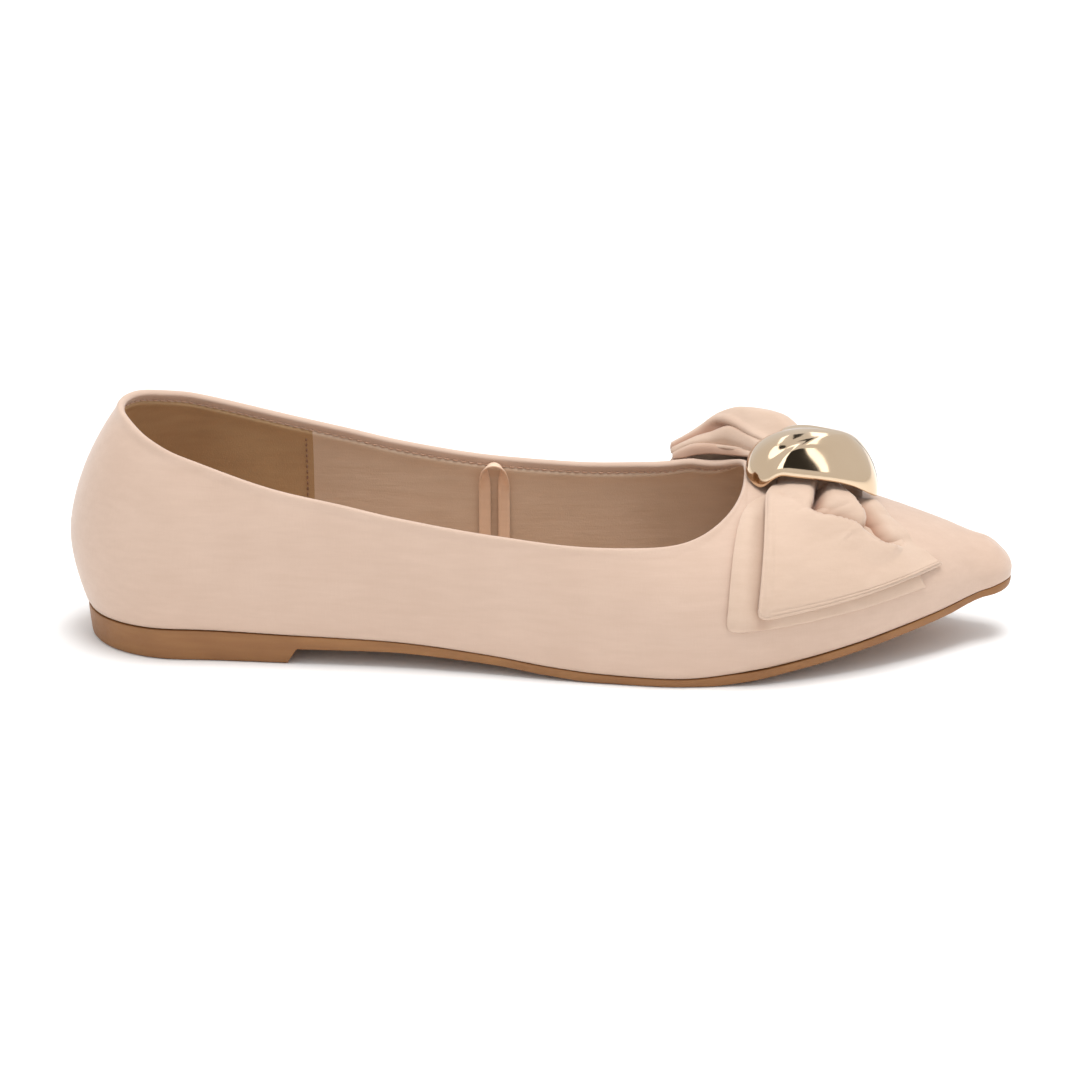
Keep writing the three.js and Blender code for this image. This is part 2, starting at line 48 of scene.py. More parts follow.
bpy.ops.object.camera_add()
camera = bpy.context.object
camera.name = "camera"
camera.data.lens = LENS
camera.data.sensor_width = SENSOR
towards_camera = Vector(
    (
        math.sin(AZIMUTH) * math.cos(ELEVATION),
        -math.cos(AZIMUTH) * math.cos(ELEVATION),
        math.sin(ELEVATION),
    )
)
camera.location = LOOKS_AT + towards_camera * STANDS_OFF
camera.rotation_euler = towards_camera.to_track_quat("Z", "Y").to_euler()
camera.data.clip_end = 50
bpy.context.scene.camera = camera
bpy.context.scene.view_settings.view_transform = "Standard"

# Studio: a white floor under an even white sky, and one wide softbox overhead that lights the cloth. The
# gold doesn't mirror it, but the lamps and dark cards that stand over the bow for it alone.
FLOOR_SIZE = 16
SKY_STRENGTH = 0.85
SOFTBOX_STANDS = Vector((0.15, -0.1, 1.5))
SOFTBOX_SIZE = (0.9, 0.7)
SOFTBOX_WATTS = 17.5
bpy.ops.mesh.primitive_plane_add(size=FLOOR_SIZE, location=(0, 0, -0.0001))
floor = bpy.context.object
floor.name = "floor"
floor.data.materials.append(bpy.data.materials.new("white_floor"))
floor_paint = floor.data.materials[0]
floor_paint.use_nodes = True
floor_shader = floor_paint.node_tree.nodes["Principled BSDF"]
floor_shader.inputs["Base Color"].default_value = (0.95, 0.95, 0.95, 1)
floor_shader.inputs["Roughness"].default_value = 0.9
floor_shader.inputs["Specular IOR Level"].default_value = 0.1

sky = bpy.data.worlds.new("white_sky")
bpy.context.scene.world = sky
sky.use_nodes = True
sky.node_tree.nodes["Background"].inputs["Color"].default_value = (1, 1, 1, 1)
sky.node_tree.nodes["Background"].inputs["Strength"].default_value = SKY_STRENGTH

bpy.ops.object.light_add(type="AREA", location=SOFTBOX_STANDS)
softbox = bpy.context.object
softbox.name = "overhead_softbox"
softbox.data.shape = "RECTANGLE"
softbox.data.size, softbox.data.size_y = SOFTBOX_SIZE
softbox.data.energy = SOFTBOX_WATTS
softbox.rotation_euler = SOFTBOX_STANDS.to_track_quat("Z", "Y").to_euler()
softbox.visible_glossy = False

# What the polished gold mirrors, laid out on a level one metre above it: two long strip lamps, each with a
# gap, and the dark of the room between them. Corners are given as metres ahead of the gold and away from it.
GOLD_STANDS = (0.075, 0.004, 0.05)
CARDS_UP = 1.0
LAMP_STRENGTH = 2.4
DARK_STRENGTH = 0.03
STRIP_LAMPS = (
    ((-0.44, 1.9), (-0.3, 2.3), (-0.39, 0.92), (-0.5, 0.66)),
    ((-0.57, 0.68), (-0.45, 0.6), (-0.64, -0.42), (-1.05, -0.03)),
    ((-1.05, -0.03), (-0.64, -0.42), (-1.7, -2.6), (-2.6, -1.4)),
    ((0.0, 2.6), (0.16, 1.9), (0.19, 0.42), (0.02, 0.47)),
    ((0.09, 0.15), (0.18, 0.19), (0.3, -0.54), (0.19, -0.63)),
    ((0.19, -0.63), (0.3, -0.54), (0.75, -2.6), (0.48, -2.9)),
)
DARK_CARDS = (
    ((-0.45, 0.58), (0.09, 0.13), (0.19, -0.63), (-0.64, -0.42)),
    ((-0.64, -0.42), (0.19, -0.63), (0.48, -2.9), (-1.7, -2.6)),
    ((-0.23, 2.1), (-0.07, 2.05), (-0.11, 1.22), (-0.2, 0.83)),
)


def mirrored_card(name, places, colour, strength):
    """A glowing or dark card that only shiny surfaces show."""
    bpy.ops.object.select_all(action="DESELECT")
    bpy.ops.mesh.primitive_plane_add(size=1, location=(0, 0, 0))
    card = bpy.context.object
    card.name = name
    x, y, z = GOLD_STANDS
    corners = [places[0], places[1], places[3], places[2]]
    for vertex, (ahead, away) in zip(card.data.vertices, corners):
        vertex.co = (x + ahead, y + away, z + CARDS_UP)
    paint = bpy.data.materials.new(name)
    paint.use_nodes = True
    shader = paint.node_tree.nodes["Principled BSDF"]
    shader.inputs["Base Color"].default_value = (0.01, 0.01, 0.01, 1)
    shader.inputs["Specular IOR Level"].default_value = 0
    shader.inputs["Emission Color"].default_value = (*colour, 1)
    shader.inputs["Emission Strength"].default_value = strength
    card.data.materials.append(paint)
    card.visible_camera = card.visible_diffuse = card.visible_shadow = card.visible_transmission = False


for number, places in enumerate(STRIP_LAMPS, 1):
    mirrored_card(f"strip_lamp_{number}", places, (1, 1, 1), LAMP_STRENGTH)
for number, places in enumerate(DARK_CARDS, 1):
    mirrored_card(f"dark_card_{number}", places, (1, 0.95, 0.85), DARK_STRENGTH)

# Upper: one shell of satin on a stiffener, drawn over the last, its collar edge folded in over the lining
# and stitched down. It has a lighter quarter lining, and a darker counter lining round the heel.
MILLIMETRE = 0.001
MIDDLE = (130.85, -0.4, 0.0)
LENGTH = 262.0
HEEL_CENTRE = 34.0
TOE_CENTRE = 253.5
OUTER, INNER = -1, 1
WALL = 1.8
# The last, in millimetres: `at` runs from the back of the heel to the tip of the toe, and sections fan round
# both ends. `rise` is 0 at the feather edge where the wall meets the sole, 1 at the belly of the wall and 2
# where the section closes over the top.
LAST_ROWS = (
    # at, spine, outer, inner, seat, belly outer, belly inner, belly height, crown, full outer, full inner
    (0, 0, 29.3, 29.3, 8.2, 4.8, 4.8, 21, 80, 1.6, 1.6),
    (12, 0, 27.6, 27.6, 8.4, 4.3, 4.3, 19.5, 79, 1.75, 1.75),
    (24, 0, 26.0, 26.0, 8.6, 3.6, 3.8, 17.5, 77.5, 1.9, 1.9),
    (34, 0, 25.4, 25.4, 8.8, 3.0, 3.4, 16, 75.5, 2.2, 2.4),
    (60, 0, 26.8, 25.4, 8.2, 2.0, 3.0, 14, 70, 2.4, 2.8),
    (90, 1, 30.0, 24.0, 7.5, 1.6, 3.2, 13, 67, 2.4, 2.7),
    (120, 3, 36.5, 22.0, 5.2, 1.4, 3.0, 12, 63.5, 2.3, 2.5),
    (134, 4.3, 40.8, 22.6, 3.6, 1.3, 2.6, 11.5, 61, 2.25, 2.5),
    (150, 5.5, 44.5, 24.0, 2.4, 1.2, 2.0, 11, 57.5, 2.2, 2.5),
    (170, 7, 48.0, 27.0, 2.1, 1.2, 1.4, 11, 51.5, 2.1, 2.4),
    (188, 7.5, 46.8, 27.8, 3.7, 1.2, 1.2, 11, 46.6, 2.1, 2.4),
    (203, 7.5, 42.2, 26.6, 5.7, 1.2, 1.2, 10, 43.4, 2.1, 2.3),
    (218, 7, 35.0, 23.8, 8.2, 1.1, 1.1, 9, 39.6, 2.1, 2.2),
    (233, 6.5, 25.6, 19.0, 11.1, 1.0, 1.0, 7, 35.2, 2.1, 2.1),
    (243, 6, 18.0, 14.6, 13.1, 0.8, 0.8, 5.5, 32.1, 2.0, 2.0),
    (253.5, 6, 9.6, 9.0, 15.5, 0.5, 0.5, 4, 28.5, 1.75, 1.75),
    (258, 6, 8.6, 8.4, 17.0, 0.4, 0.4, 3.2, 28.2, 1.5, 1.5),
    (262, 6, 8.0, 8.0, 17.2, 0.3, 0.3, 2.8, 28, 1.4, 1.4),
)
BELLY_POWER = 1.7
RISE_NUDGE = 0.02
AT_NUDGE = 0.5


def curve_through(x, y):
    """A smooth curve through points, which never overshoots them."""
    x, y = np.array(x, float), np.array(y, float)
    step = np.diff(x)
    rise = np.diff(y) / step
    slope = np.concatenate(([rise[0]], np.zeros(len(x) - 2), [rise[-1]]))
    for i in range(1, len(x) - 1):
        if rise[i - 1] * rise[i] > 0:
            before = 2 * step[i] + step[i - 1]
            after = step[i] + 2 * step[i - 1]
            slope[i] = (before + after) / (before / rise[i - 1] + after / rise[i])

    def value(v):
        v = np.asarray(v, float)
        i = np.clip(np.searchsorted(x, v, side="right") - 1, 0, len(x) - 2)
        t = np.clip((v - x[i]) / step[i], 0, 1)
        back = 1 - t
        return (
            y[i] * back**2 * (1 + 2 * t)
            + y[i + 1] * t**2 * (3 - 2 * t)
            + step[i] * (slope[i] * t * back**2 - slope[i + 1] * t**2 * back)
        )

    return value


def column_curves(rows):
    columns = list(zip(*rows))
    return [curve_through(columns[0], column) for column in columns[1:]]


spine_at, outer_at, inner_at, seat_at, belly_out, belly_in, belly_up, crown_at, full_out, full_in = (
    column_curves(LAST_ROWS)
)


def ease(t):
    t = np.clip(t, 0, 1)
    return t * t * (3 - 2 * t)


def by_side(side, outer, inner):
    return np.where(np.asarray(side) < 0, outer, inner)


def wall_at(at, side, rise):
    """How far the wall's outside stands from the spine, and how high."""
    foot = by_side(side, outer_at(at), inner_at(at))
    swell = by_side(side, belly_out(at), belly_in(at))
    full = by_side(side, full_out(at), full_in(at))
    low = np.clip(rise, 0, 1)
    angle = np.clip(rise - 1, 0, 1) * math.pi / 2
    above = crown_at(at) - seat_at(at) - belly_up(at)
    low_reach = foot + swell * (1 - (1 - low) ** BELLY_POWER)
    high_reach = (foot + swell) * np.maximum(0, np.cos(angle)) ** (2 / full)
    low_z = seat_at(at) + belly_up(at) * low
    high_z = seat_at(at) + belly_up(at) + above * np.sin(angle) ** (2 / full)
    return np.where(rise <= 1, low_reach, high_reach), np.where(rise <= 1, low_z, high_z)


def place(at, side, reach, z):
    """A place on the section at `at`, which fans round the heel and the toe."""
    turn = np.where(
        at < HEEL_CENTRE,
        -math.pi / 2 * (1 - at / HEEL_CENTRE),
        math.pi / 2 * np.maximum(0, at - TOE_CENTRE) / (LENGTH - TOE_CENTRE),
    )
    x = np.clip(at, HEEL_CENTRE, TOE_CENTRE) + np.sin(turn) * reach
    y = spine_at(at) + side * np.cos(turn) * reach
    return np.stack(np.broadcast_arrays(x, y, z), -1)


def wall_point(at, side, rise):
    return place(at, side, *wall_at(at, side, rise))


def off_wall(at, side, rise, lift):
    """Points `lift` outside the wall, or inside it where lift is negative."""
    at, side, rise, lift = np.broadcast_arrays(*(np.asarray(v, float) for v in (at, side, rise, lift)))
    low = np.minimum(np.maximum(0, rise - RISE_NUDGE), 2 - 2 * RISE_NUDGE)
    high = np.minimum(2 - RISE_NUDGE, rise + RISE_NUDGE)
    up = wall_point(at, side, high) - wall_point(at, side, low)
    held = np.minimum(rise, 2 - RISE_NUDGE)
    ahead = wall_point(np.minimum(LENGTH, at + AT_NUDGE), side, held)
    along = ahead - wall_point(np.maximum(0, at - AT_NUDGE), side, held)
    normal = np.cross(along, up) * -side[..., None]
    x = np.minimum(at, TOE_CENTRE)
    fall = crown_at(x - AT_NUDGE) - crown_at(x + AT_NUDGE)
    over = np.stack((fall, np.zeros_like(fall), np.ones_like(fall)), -1)
    normal = np.where((rise >= 2)[..., None], over, normal)
    normal /= np.linalg.norm(normal, axis=-1, keepdims=True)
    return wall_point(at, side, rise) + normal * lift[..., None]


def rise_at_height(at, side, z):
    """The rise at which the wall has this height."""
    belly = seat_at(at) + belly_up(at)
    share = np.clip((z - belly) / (crown_at(at) - belly), 0, 1)
    full = by_side(side, full_out(at), full_in(at))
    high = 1 + np.arcsin(share ** (full / 2)) / (math.pi / 2)
    return np.where(z <= belly, np.clip((z - seat_at(at)) / belly_up(at), 0, 1), high)


def rise_at_reach(at, side, reach):
    """The rise above the belly at which the wall stands this far from the spine."""
    widest = wall_at(at, side, 1.0)[0]
    full = by_side(side, full_out(at), full_in(at))
    return 1 + np.arccos(np.clip(reach / widest, 0, 1) ** (full / 2)) / (math.pi / 2)


# The collar's edge, the throat that carries it round over the vamp, and the counter lining's front seam.
COLLAR_ROWS = (
    # at, height of the outer edge, height of the inner edge
    (0, 66.5, 66.5),
    (12, 65.2, 66),
    (24, 61.3, 64.0),
    (34, 57.7, 61.6),
    (60, 49.2, 54.8),
    (78, 45.6, 50.4),
    (90, 43.1, 47.4),
    (120, 39.0, 42.9),
    (150, 37.0, 40.6),
    (164, 37.0, 40.6),
    (172, 37.0, 42.3),
)
collar_outer, collar_inner = column_curves(COLLAR_ROWS)
THROAT = 188.0
THROAT_STARTS = {OUTER: 158.0, INNER: 172.0}
THROAT_POWER = {OUTER: 2.6, INNER: 2.9}
COUNTER_SEAM = 66.0
# How far below its top edge the shell has a row of corners, then how many even rows follow down to the sole.
OUTSIDE_DEPTHS = (0, 0.5, 1.0, 1.6, 2.3, 3.0, 4.2, 6.0, 8.5)
OUTSIDE_REST = 13
ROUND_OVER = 5
INSIDE_DEPTHS = (0, 0.7, 1.4, 2.0, 2.2, 2.5, 3.1, 3.9, 5.0, 7.0)
INSIDE_REST = 11
LOW_WALL = 25
TRACE_STEPS = 160
# The edge is rounded and rolls a little outwards. The satin folded in over it ends in a groove, and the
# lining steps in below. All of it fades out where the throat closes.
EDGE_ROUND = 0.75
ROLL_OUT = 0.45
ROLL_DEEP = 3
FOLDED_IN = 2.1
FOLDED_ROWS = 4
FOLD_GROOVE = 0.2
LINING_STEP = 0.4
STEP_STARTS = 0.5
STEP_ENDS = 6.5
STEP_FADES = 3.5
COUNTER_THICK = 0.25
CLOSES_OVER = 8
IN_THE_OPENING = np.array((110.0, 4.0, 95.0))


def top_of(at, side):
    """The rise of the upper's top: its collar edge, or the crown where the vamp is closed."""
    starts = THROAT_STARTS[side]
    height = collar_outer if side == OUTER else collar_inner
    if at >= THROAT:
        return 2.0
    if at <= starts:
        return float(rise_at_height(at, side, height(at)))
    share = (at - starts) / (THROAT - starts)
    power = THROAT_POWER[side]
    wide = wall_at(starts, side, rise_at_height(starts, side, height(starts)))[0]
    return float(rise_at_reach(at, side, wide * (1 - share**power) ** (1 / power)))


def down_the_wall(at, side, depths, rest):
    """Rises at these depths below the top along the wall, then evenly down to the feather edge."""
    rises = np.linspace(top_of(at, side), 0, TRACE_STEPS)
    line = wall_point(np.full(TRACE_STEPS, at), side, rises)
    deep = np.concatenate(([0], np.cumsum(np.linalg.norm(np.diff(line, axis=0), axis=1))))
    lower = np.linspace(depths[-1], deep[-1], rest + 1)[1:]
    wanted = np.concatenate((np.array(depths) * min(1, deep[-1] / LOW_WALL), lower))
    wanted = np.maximum.accumulate(np.minimum(wanted, deep[-1]))
    return np.interp(wanted, deep, rises), wanted


def places_along(side):
    """Where the upper's sections stand on one side, closer together round the heel, throat and toe."""
    starts = THROAT_STARTS[side]
    turned = starts + (THROAT - starts) * np.sin(np.linspace(0, math.pi / 2, 15)[:-1])
    return np.concatenate(
        (
            np.linspace(0, HEEL_CENTRE, 17)[:-1],
            np.linspace(HEEL_CENTRE, COUNTER_SEAM, 9)[:-1],
            np.linspace(COUNTER_SEAM, starts, 25)[:-1],
            turned,
            np.linspace(THROAT, TOE_CENTRE, 21)[:-1],
            np.linspace(TOE_CENTRE, LENGTH, 9),
        )
    )


def grid_piece(name, columns, rows):
    """A flat grid of faces, to be shaped, with the column and row of each corner and each face."""
    bpy.ops.object.select_all(action="DESELECT")
    bpy.ops.mesh.primitive_grid_add(x_subdivisions=columns, y_subdivisions=rows, size=2)
    piece = bpy.context.object
    piece.name = piece.data.name = name
    flat = np.empty(len(piece.data.vertices) * 3)
    piece.data.vertices.foreach_get("co", flat)
    flat = flat.reshape(-1, 3)
    corners = (
        np.rint((flat[:, 0] + 1) / 2 * columns).astype(int),
        np.rint((flat[:, 1] + 1) / 2 * rows).astype(int),
    )
    middles = np.array([p.center for p in piece.data.polygons])
    faces = (
        np.floor((middles[:, 0] + 1) / 2 * columns).astype(int),
        np.floor((middles[:, 1] + 1) / 2 * rows).astype(int),
    )
    return piece, corners, faces


def set_points(piece, points):
    """Moves the corners to these places, given in millimetres along the shoe."""
    metres = (np.asarray(points) - MIDDLE) * MILLIMETRE
    piece.data.vertices.foreach_set("co", metres.ravel())
    piece.data.update()


def select_faces(piece, wanted):
    bpy.ops.object.mode_set(mode="OBJECT")
    piece.data.vertices.foreach_set("select", np.zeros(len(piece.data.vertices), bool))
    piece.data.edges.foreach_set("select", np.zeros(len(piece.data.edges), bool))
    piece.data.polygons.foreach_set("select", np.asarray(wanted, bool))
    bpy.ops.object.mode_set(mode="EDIT")


def close_up(piece, drop=None):
    """Takes the unwanted faces out, joins the corners that meet and turns the faces outwards."""
    bpy.ops.object.mode_set(mode="EDIT")
    bpy.ops.mesh.select_mode(type="FACE")
    if drop is not None and np.any(drop):
        select_faces(piece, drop)
        bpy.ops.mesh.delete(type="FACE")
    bpy.ops.mesh.select_all(action="SELECT")
    bpy.ops.mesh.remove_doubles(threshold=0.000004)
    bpy.ops.mesh.normals_make_consistent(inside=False)
    bpy.ops.object.mode_set(mode="OBJECT")
    bpy.ops.object.shade_smooth()


def smooth_over(piece, levels):
    piece.modifiers.new("soft", "SUBSURF")
    piece.modifiers["soft"].levels = piece.modifiers["soft"].render_levels = levels
    bpy.ops.object.modifier_apply(modifier="soft")


def hump(value, middle, half):
    return np.exp(-(((value - middle) / half) ** 2))


around = [(at, OUTER) for at in places_along(OUTER)[::-1]]
around += [(at, INNER) for at in places_along(INNER)[1:]]
loops = []
for at, side in around:
    rises, deep = down_the_wall(at, side, OUTSIDE_DEPTHS, OUTSIDE_REST)
    is_open = ease((THROAT - at) / CLOSES_OVER)
    outside = off_wall(at, side, rises, ROLL_OUT * is_open * ease(1 - deep / ROLL_DEEP))
    rises, deep = down_the_wall(at, side, INSIDE_DEPTHS, INSIDE_REST)
    below_the_fold = ease((deep - FOLDED_IN) / STEP_STARTS)
    step = LINING_STEP * below_the_fold * ease((STEP_ENDS - deep) / STEP_FADES)
    step = step - FOLD_GROOVE * hump(deep, FOLDED_IN, 0.3)
    counter = COUNTER_THICK * (at < COUNTER_SEAM) * below_the_fold
    inside = off_wall(at, side, rises, -WALL - is_open * (step + counter))
    inside[-1][2] = outside[-1][2]
    loops.append((outside[::-1], inside))

edge_out = np.array([outside[-1] for outside, inside in loops])
edge_in = np.array([inside[0] for outside, inside in loops])
edge_along = np.roll(edge_out, -1, 0) - np.roll(edge_out, 1, 0)
edge_up = np.cross(edge_along, edge_out - edge_in)
edge_up *= np.sign(np.einsum("ij,ij->i", edge_up, IN_THE_OPENING - edge_out))[:, None]
edge_up /= np.linalg.norm(edge_up, axis=1, keepdims=True) + 1e-9
profile = []
for (outside, inside), e_out, e_in, up in zip(loops, edge_out, edge_in, edge_up):
    over = []
    for k in range(ROUND_OVER):
        angle = math.pi * (k + 1) / (ROUND_OVER + 1)
        over.append(
            (e_out + e_in) / 2 + (e_out - e_in) / 2 * math.cos(angle) + up * EDGE_ROUND * math.sin(angle)
        )
    profile.append(np.concatenate((outside, over, inside, outside[:1])))
profile = np.array(profile)

upper, corners, faces = grid_piece("satin_upper", len(around) - 1, profile.shape[1] - 1)
set_points(upper, profile[corners])
closed_column = np.array([at >= THROAT for at, side in around])
both_closed = closed_column[faces[0]] & closed_column[faces[0] + 1]
outside_rows = len(OUTSIDE_DEPTHS) + OUTSIDE_REST
rim_row = (faces[1] >= outside_rows - 1) & (faces[1] < outside_rows + ROUND_OVER)
inner_row = faces[1] - (outside_rows + ROUND_OVER)
column_at = np.array([at for at, side in around])
face_at = (column_at[faces[0]] + column_at[faces[0] + 1]) / 2
is_lining = (inner_row >= FOLDED_ROWS) | ((inner_row >= 0) & both_closed)
slots = np.where(is_lining, np.where(face_at < COUNTER_SEAM, 2, 1), 0)


def wire(tree, kind, inputs=None, **settings):
    """Adds a node. An input is a plain value, or another node's socket that it is joined to."""
    made = tree.nodes.new(kind)
    for name, value in settings.items():
        setattr(made, name, value)
    for name, value in (inputs or {}).items():
        if isinstance(value, bpy.types.NodeSocket):
            tree.links.new(value, made.inputs[name])
        else:
            made.inputs[name].default_value = value
    return made


def new_group(name, inputs, outputs):
    tree = bpy.data.node_groups.new(name, "ShaderNodeTree")
    for label, kind, value in inputs:
        socket = tree.interface.new_socket(label, in_out="INPUT", socket_type=kind)
        if value is not None:
            socket.default_value = value
    for label, kind in outputs:
        tree.interface.new_socket(label, in_out="OUTPUT", socket_type=kind)
    return tree, wire(tree, "NodeGroupInput").outputs, wire(tree, "NodeGroupOutput").inputs


def object_spot(tree):
    return wire(tree, "ShaderNodeTexCoord").outputs["Object"]


def added(tree, first, second):
    return wire(tree, "ShaderNodeMath", {0: first, 1: second}, operation="ADD").outputs[0]


def bumped(tree, height, distance, strength, over=None):
    """A bump of this height in metres, on top of another one where one is given."""
    inputs = {"Height": height, "Distance": distance, "Strength": strength}
    if over is not None:
        inputs["Normal"] = over
    return wire(tree, "ShaderNodeBump", inputs).outputs[0]


def noise(tree, vector, scale, detail=2.0, roughness=0.5):
    return wire(
        tree,
        "ShaderNodeTexNoise",
        {"Vector": vector, "Scale": scale, "Detail": detail, "Roughness": roughness},
    ).outputs["Fac"]


def stretched(tree, vector, stretch):
    return wire(tree, "ShaderNodeVectorMath", {0: vector, 1: stretch}, operation="MULTIPLY").outputs[0]


def mixed(tree, share, first, second):
    made = wire(tree, "ShaderNodeMix", data_type="RGBA", blend_type="MIX")
    for socket, value in ((made.inputs[0], share), (made.inputs[6], first), (made.inputs[7], second)):
        if isinstance(value, bpy.types.NodeSocket):
            tree.links.new(value, socket)
        else:
            socket.default_value = value
    return made.outputs[2]


def ranged(tree, value, low, high, to_low, to_high):
    return wire(
        tree,
        "ShaderNodeMapRange",
        {"Value": value, "From Min": low, "From Max": high, "To Min": to_low, "To Max": to_high},
    ).outputs["Result"]


# Fine cloth: crossed threads, a slow drift of shade and faint slubs. Lengths are in metres.
SLUB_HIGH = 0.00012
cloth, cloth_in, cloth_out = new_group(
    "fine_cloth",
    (
        ("Colour", "NodeSocketColor", (0.8, 0.5, 0.4, 1)),
        ("Shade", "NodeSocketColor", (0.7, 0.4, 0.3, 1)),
        ("Threads", "NodeSocketFloat", 2600.0),
        ("Depth", "NodeSocketFloat", 0.00004),
    ),
    (("Colour", "NodeSocketColor"), ("Roughness", "NodeSocketFloat"), ("Normal", "NodeSocketVector")),
)
spot = object_spot(cloth)
weft = noise(cloth, stretched(cloth, spot, (0.12, 0.5, 1.0)), cloth_in["Threads"], 3.0)
warp = noise(cloth, stretched(cloth, spot, (1.0, 0.6, 0.1)), cloth_in["Threads"], 3.0)
drift = noise(cloth, spot, 38.0, 3.0)
slub = noise(cloth, stretched(cloth, spot, (0.16, 0.6, 1.0)), 520.0, 2.0)
threads = added(cloth, weft, warp)
shade = ranged(cloth, added(cloth, drift, slub), 0.75, 1.25, 0.0, 0.55)
shaded = mixed(cloth, shade, cloth_in["Colour"], cloth_in["Shade"])
thread_shade = ranged(cloth, threads, 0.7, 1.3, 0.0, 0.22)
toned = mixed(cloth, thread_shade, shaded, cloth_in["Shade"])
woven = bumped(cloth, threads, cloth_in["Depth"], 0.6)
slubbed = bumped(cloth, slub, SLUB_HIGH, 0.3, woven)
cloth.links.new(toned, cloth_out["Colour"])
cloth.links.new(ranged(cloth, threads, 0.6, 1.4, 0.42, 0.6), cloth_out["Roughness"])
cloth.links.new(slubbed, cloth_out["Normal"])


def new_material(name, **constants):
    material = bpy.data.materials.new(name)
    material.use_nodes = True
    shader = material.node_tree.nodes["Principled BSDF"]
    for label, value in constants.items():
        shader.inputs[label.replace("_", " ")].default_value = value
    return material, material.node_tree, shader


def grouped_material(name, group, values, constants):
    """A material whose colour, roughness and bumps come from a group of nodes."""
    material, tree, shader = new_material(name, **constants)
    made = wire(tree, "ShaderNodeGroup", values, node_tree=group)
    for label, shader_label in (("Colour", "Base Color"), ("Roughness", "Roughness"), ("Normal", "Normal")):
        tree.links.new(made.outputs[label], shader.inputs[shader_label])
    return material


def cloth_material(name, colour, shade, threads, depth, **constants):
    values = {"Colour": (*colour, 1), "Shade": (*shade, 1), "Threads": threads, "Depth": depth}
    return grouped_material(name, cloth, values, constants)


# Lining leather: fine pores and long shallow crinkles that run along the shoe.
leather, leather_in, leather_out = new_group(
    "lining_leather",
    (
        ("Colour", "NodeSocketColor", (0.5, 0.3, 0.2, 1)),
        ("Shade", "NodeSocketColor", (0.4, 0.2, 0.1, 1)),
        ("Crinkle", "NodeSocketFloat", 0.0003),
        ("Grain", "NodeSocketFloat", 0.00008),
    ),
    (("Colour", "NodeSocketColor"), ("Roughness", "NodeSocketFloat"), ("Normal", "NodeSocketVector")),
)
spot = object_spot(leather)
crinkle = noise(leather, stretched(leather, spot, (0.13, 0.4, 1.0)), 420.0, 4.0, 0.6)
pores = noise(leather, spot, 2400.0, 3.0)
cloudy = noise(leather, spot, 60.0, 3.0)
tone = ranged(leather, added(leather, crinkle, cloudy), 0.7, 1.3, 0.0, 0.7)
toned = mixed(leather, tone, leather_in["Colour"], leather_in["Shade"])
grained = bumped(leather, pores, leather_in["Grain"], 0.6)
creased = bumped(leather, crinkle, leather_in["Crinkle"], 0.8, grained)
leather.links.new(toned, leather_out["Colour"])
leather.links.new(ranged(leather, crinkle, 0.3, 0.7, 0.5, 0.68), leather_out["Roughness"])
leather.links.new(creased, leather_out["Normal"])


def leather_material(name, colour, shade, crinkle_depth, grain_depth, **constants):
    values = {"Colour": (*colour, 1), "Shade": (*shade, 1), "Crinkle": crinkle_depth, "Grain": grain_depth}
    return grouped_material(name, leather, values, constants)


SATIN_THREADS = 2600.0
SATIN_DEPTH = 0.00004
SATIN_SHINE = {"Sheen_Weight": 0.25, "Sheen_Roughness": 0.4, "Specular_IOR_Level": 0.4}
satin = cloth_material(
    "blush_satin", (0.6, 0.44, 0.345), (0.535, 0.38, 0.29), SATIN_THREADS, SATIN_DEPTH, **SATIN_SHINE
)
quarter_lining = leather_material(
    "quarter_lining", (0.665, 0.5, 0.37), (0.57, 0.41, 0.285), 0.00022, 0.00006, Specular_IOR_Level=0.3
)
counter_lining = leather_material(
    "counter_lining", (0.485, 0.31, 0.165), (0.415, 0.25, 0.13), 0.00006, 0.0001, Specular_IOR_Level=0.2
)
for paint in (satin, quarter_lining, counter_lining):
    upper.data.materials.append(paint)
upper.data.polygons.foreach_set("material_index", slots.astype(np.int32))
close_up(upper, rim_row & both_closed)
smooth_over(upper, 1)
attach(upper, "root")
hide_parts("upper")

# Stitches: a tan thread along the folded collar edge, and a brown one on each side through the front of the
# counter lining. Each stitch shows over part of its pitch and dips under for the rest.
THREAD_SIDES = 6
STITCH_POINTS = 9
COLLAR_THREAD = {"pitch": 2.3, "shown": 0.74, "radius": 0.22}
COUNTER_THREAD = {"pitch": 1.7, "shown": 0.6, "radius": 0.24}
COLLAR_STITCH_DEEP = 1.75
COUNTER_STITCH_AT = COUNTER_SEAM - 1.8


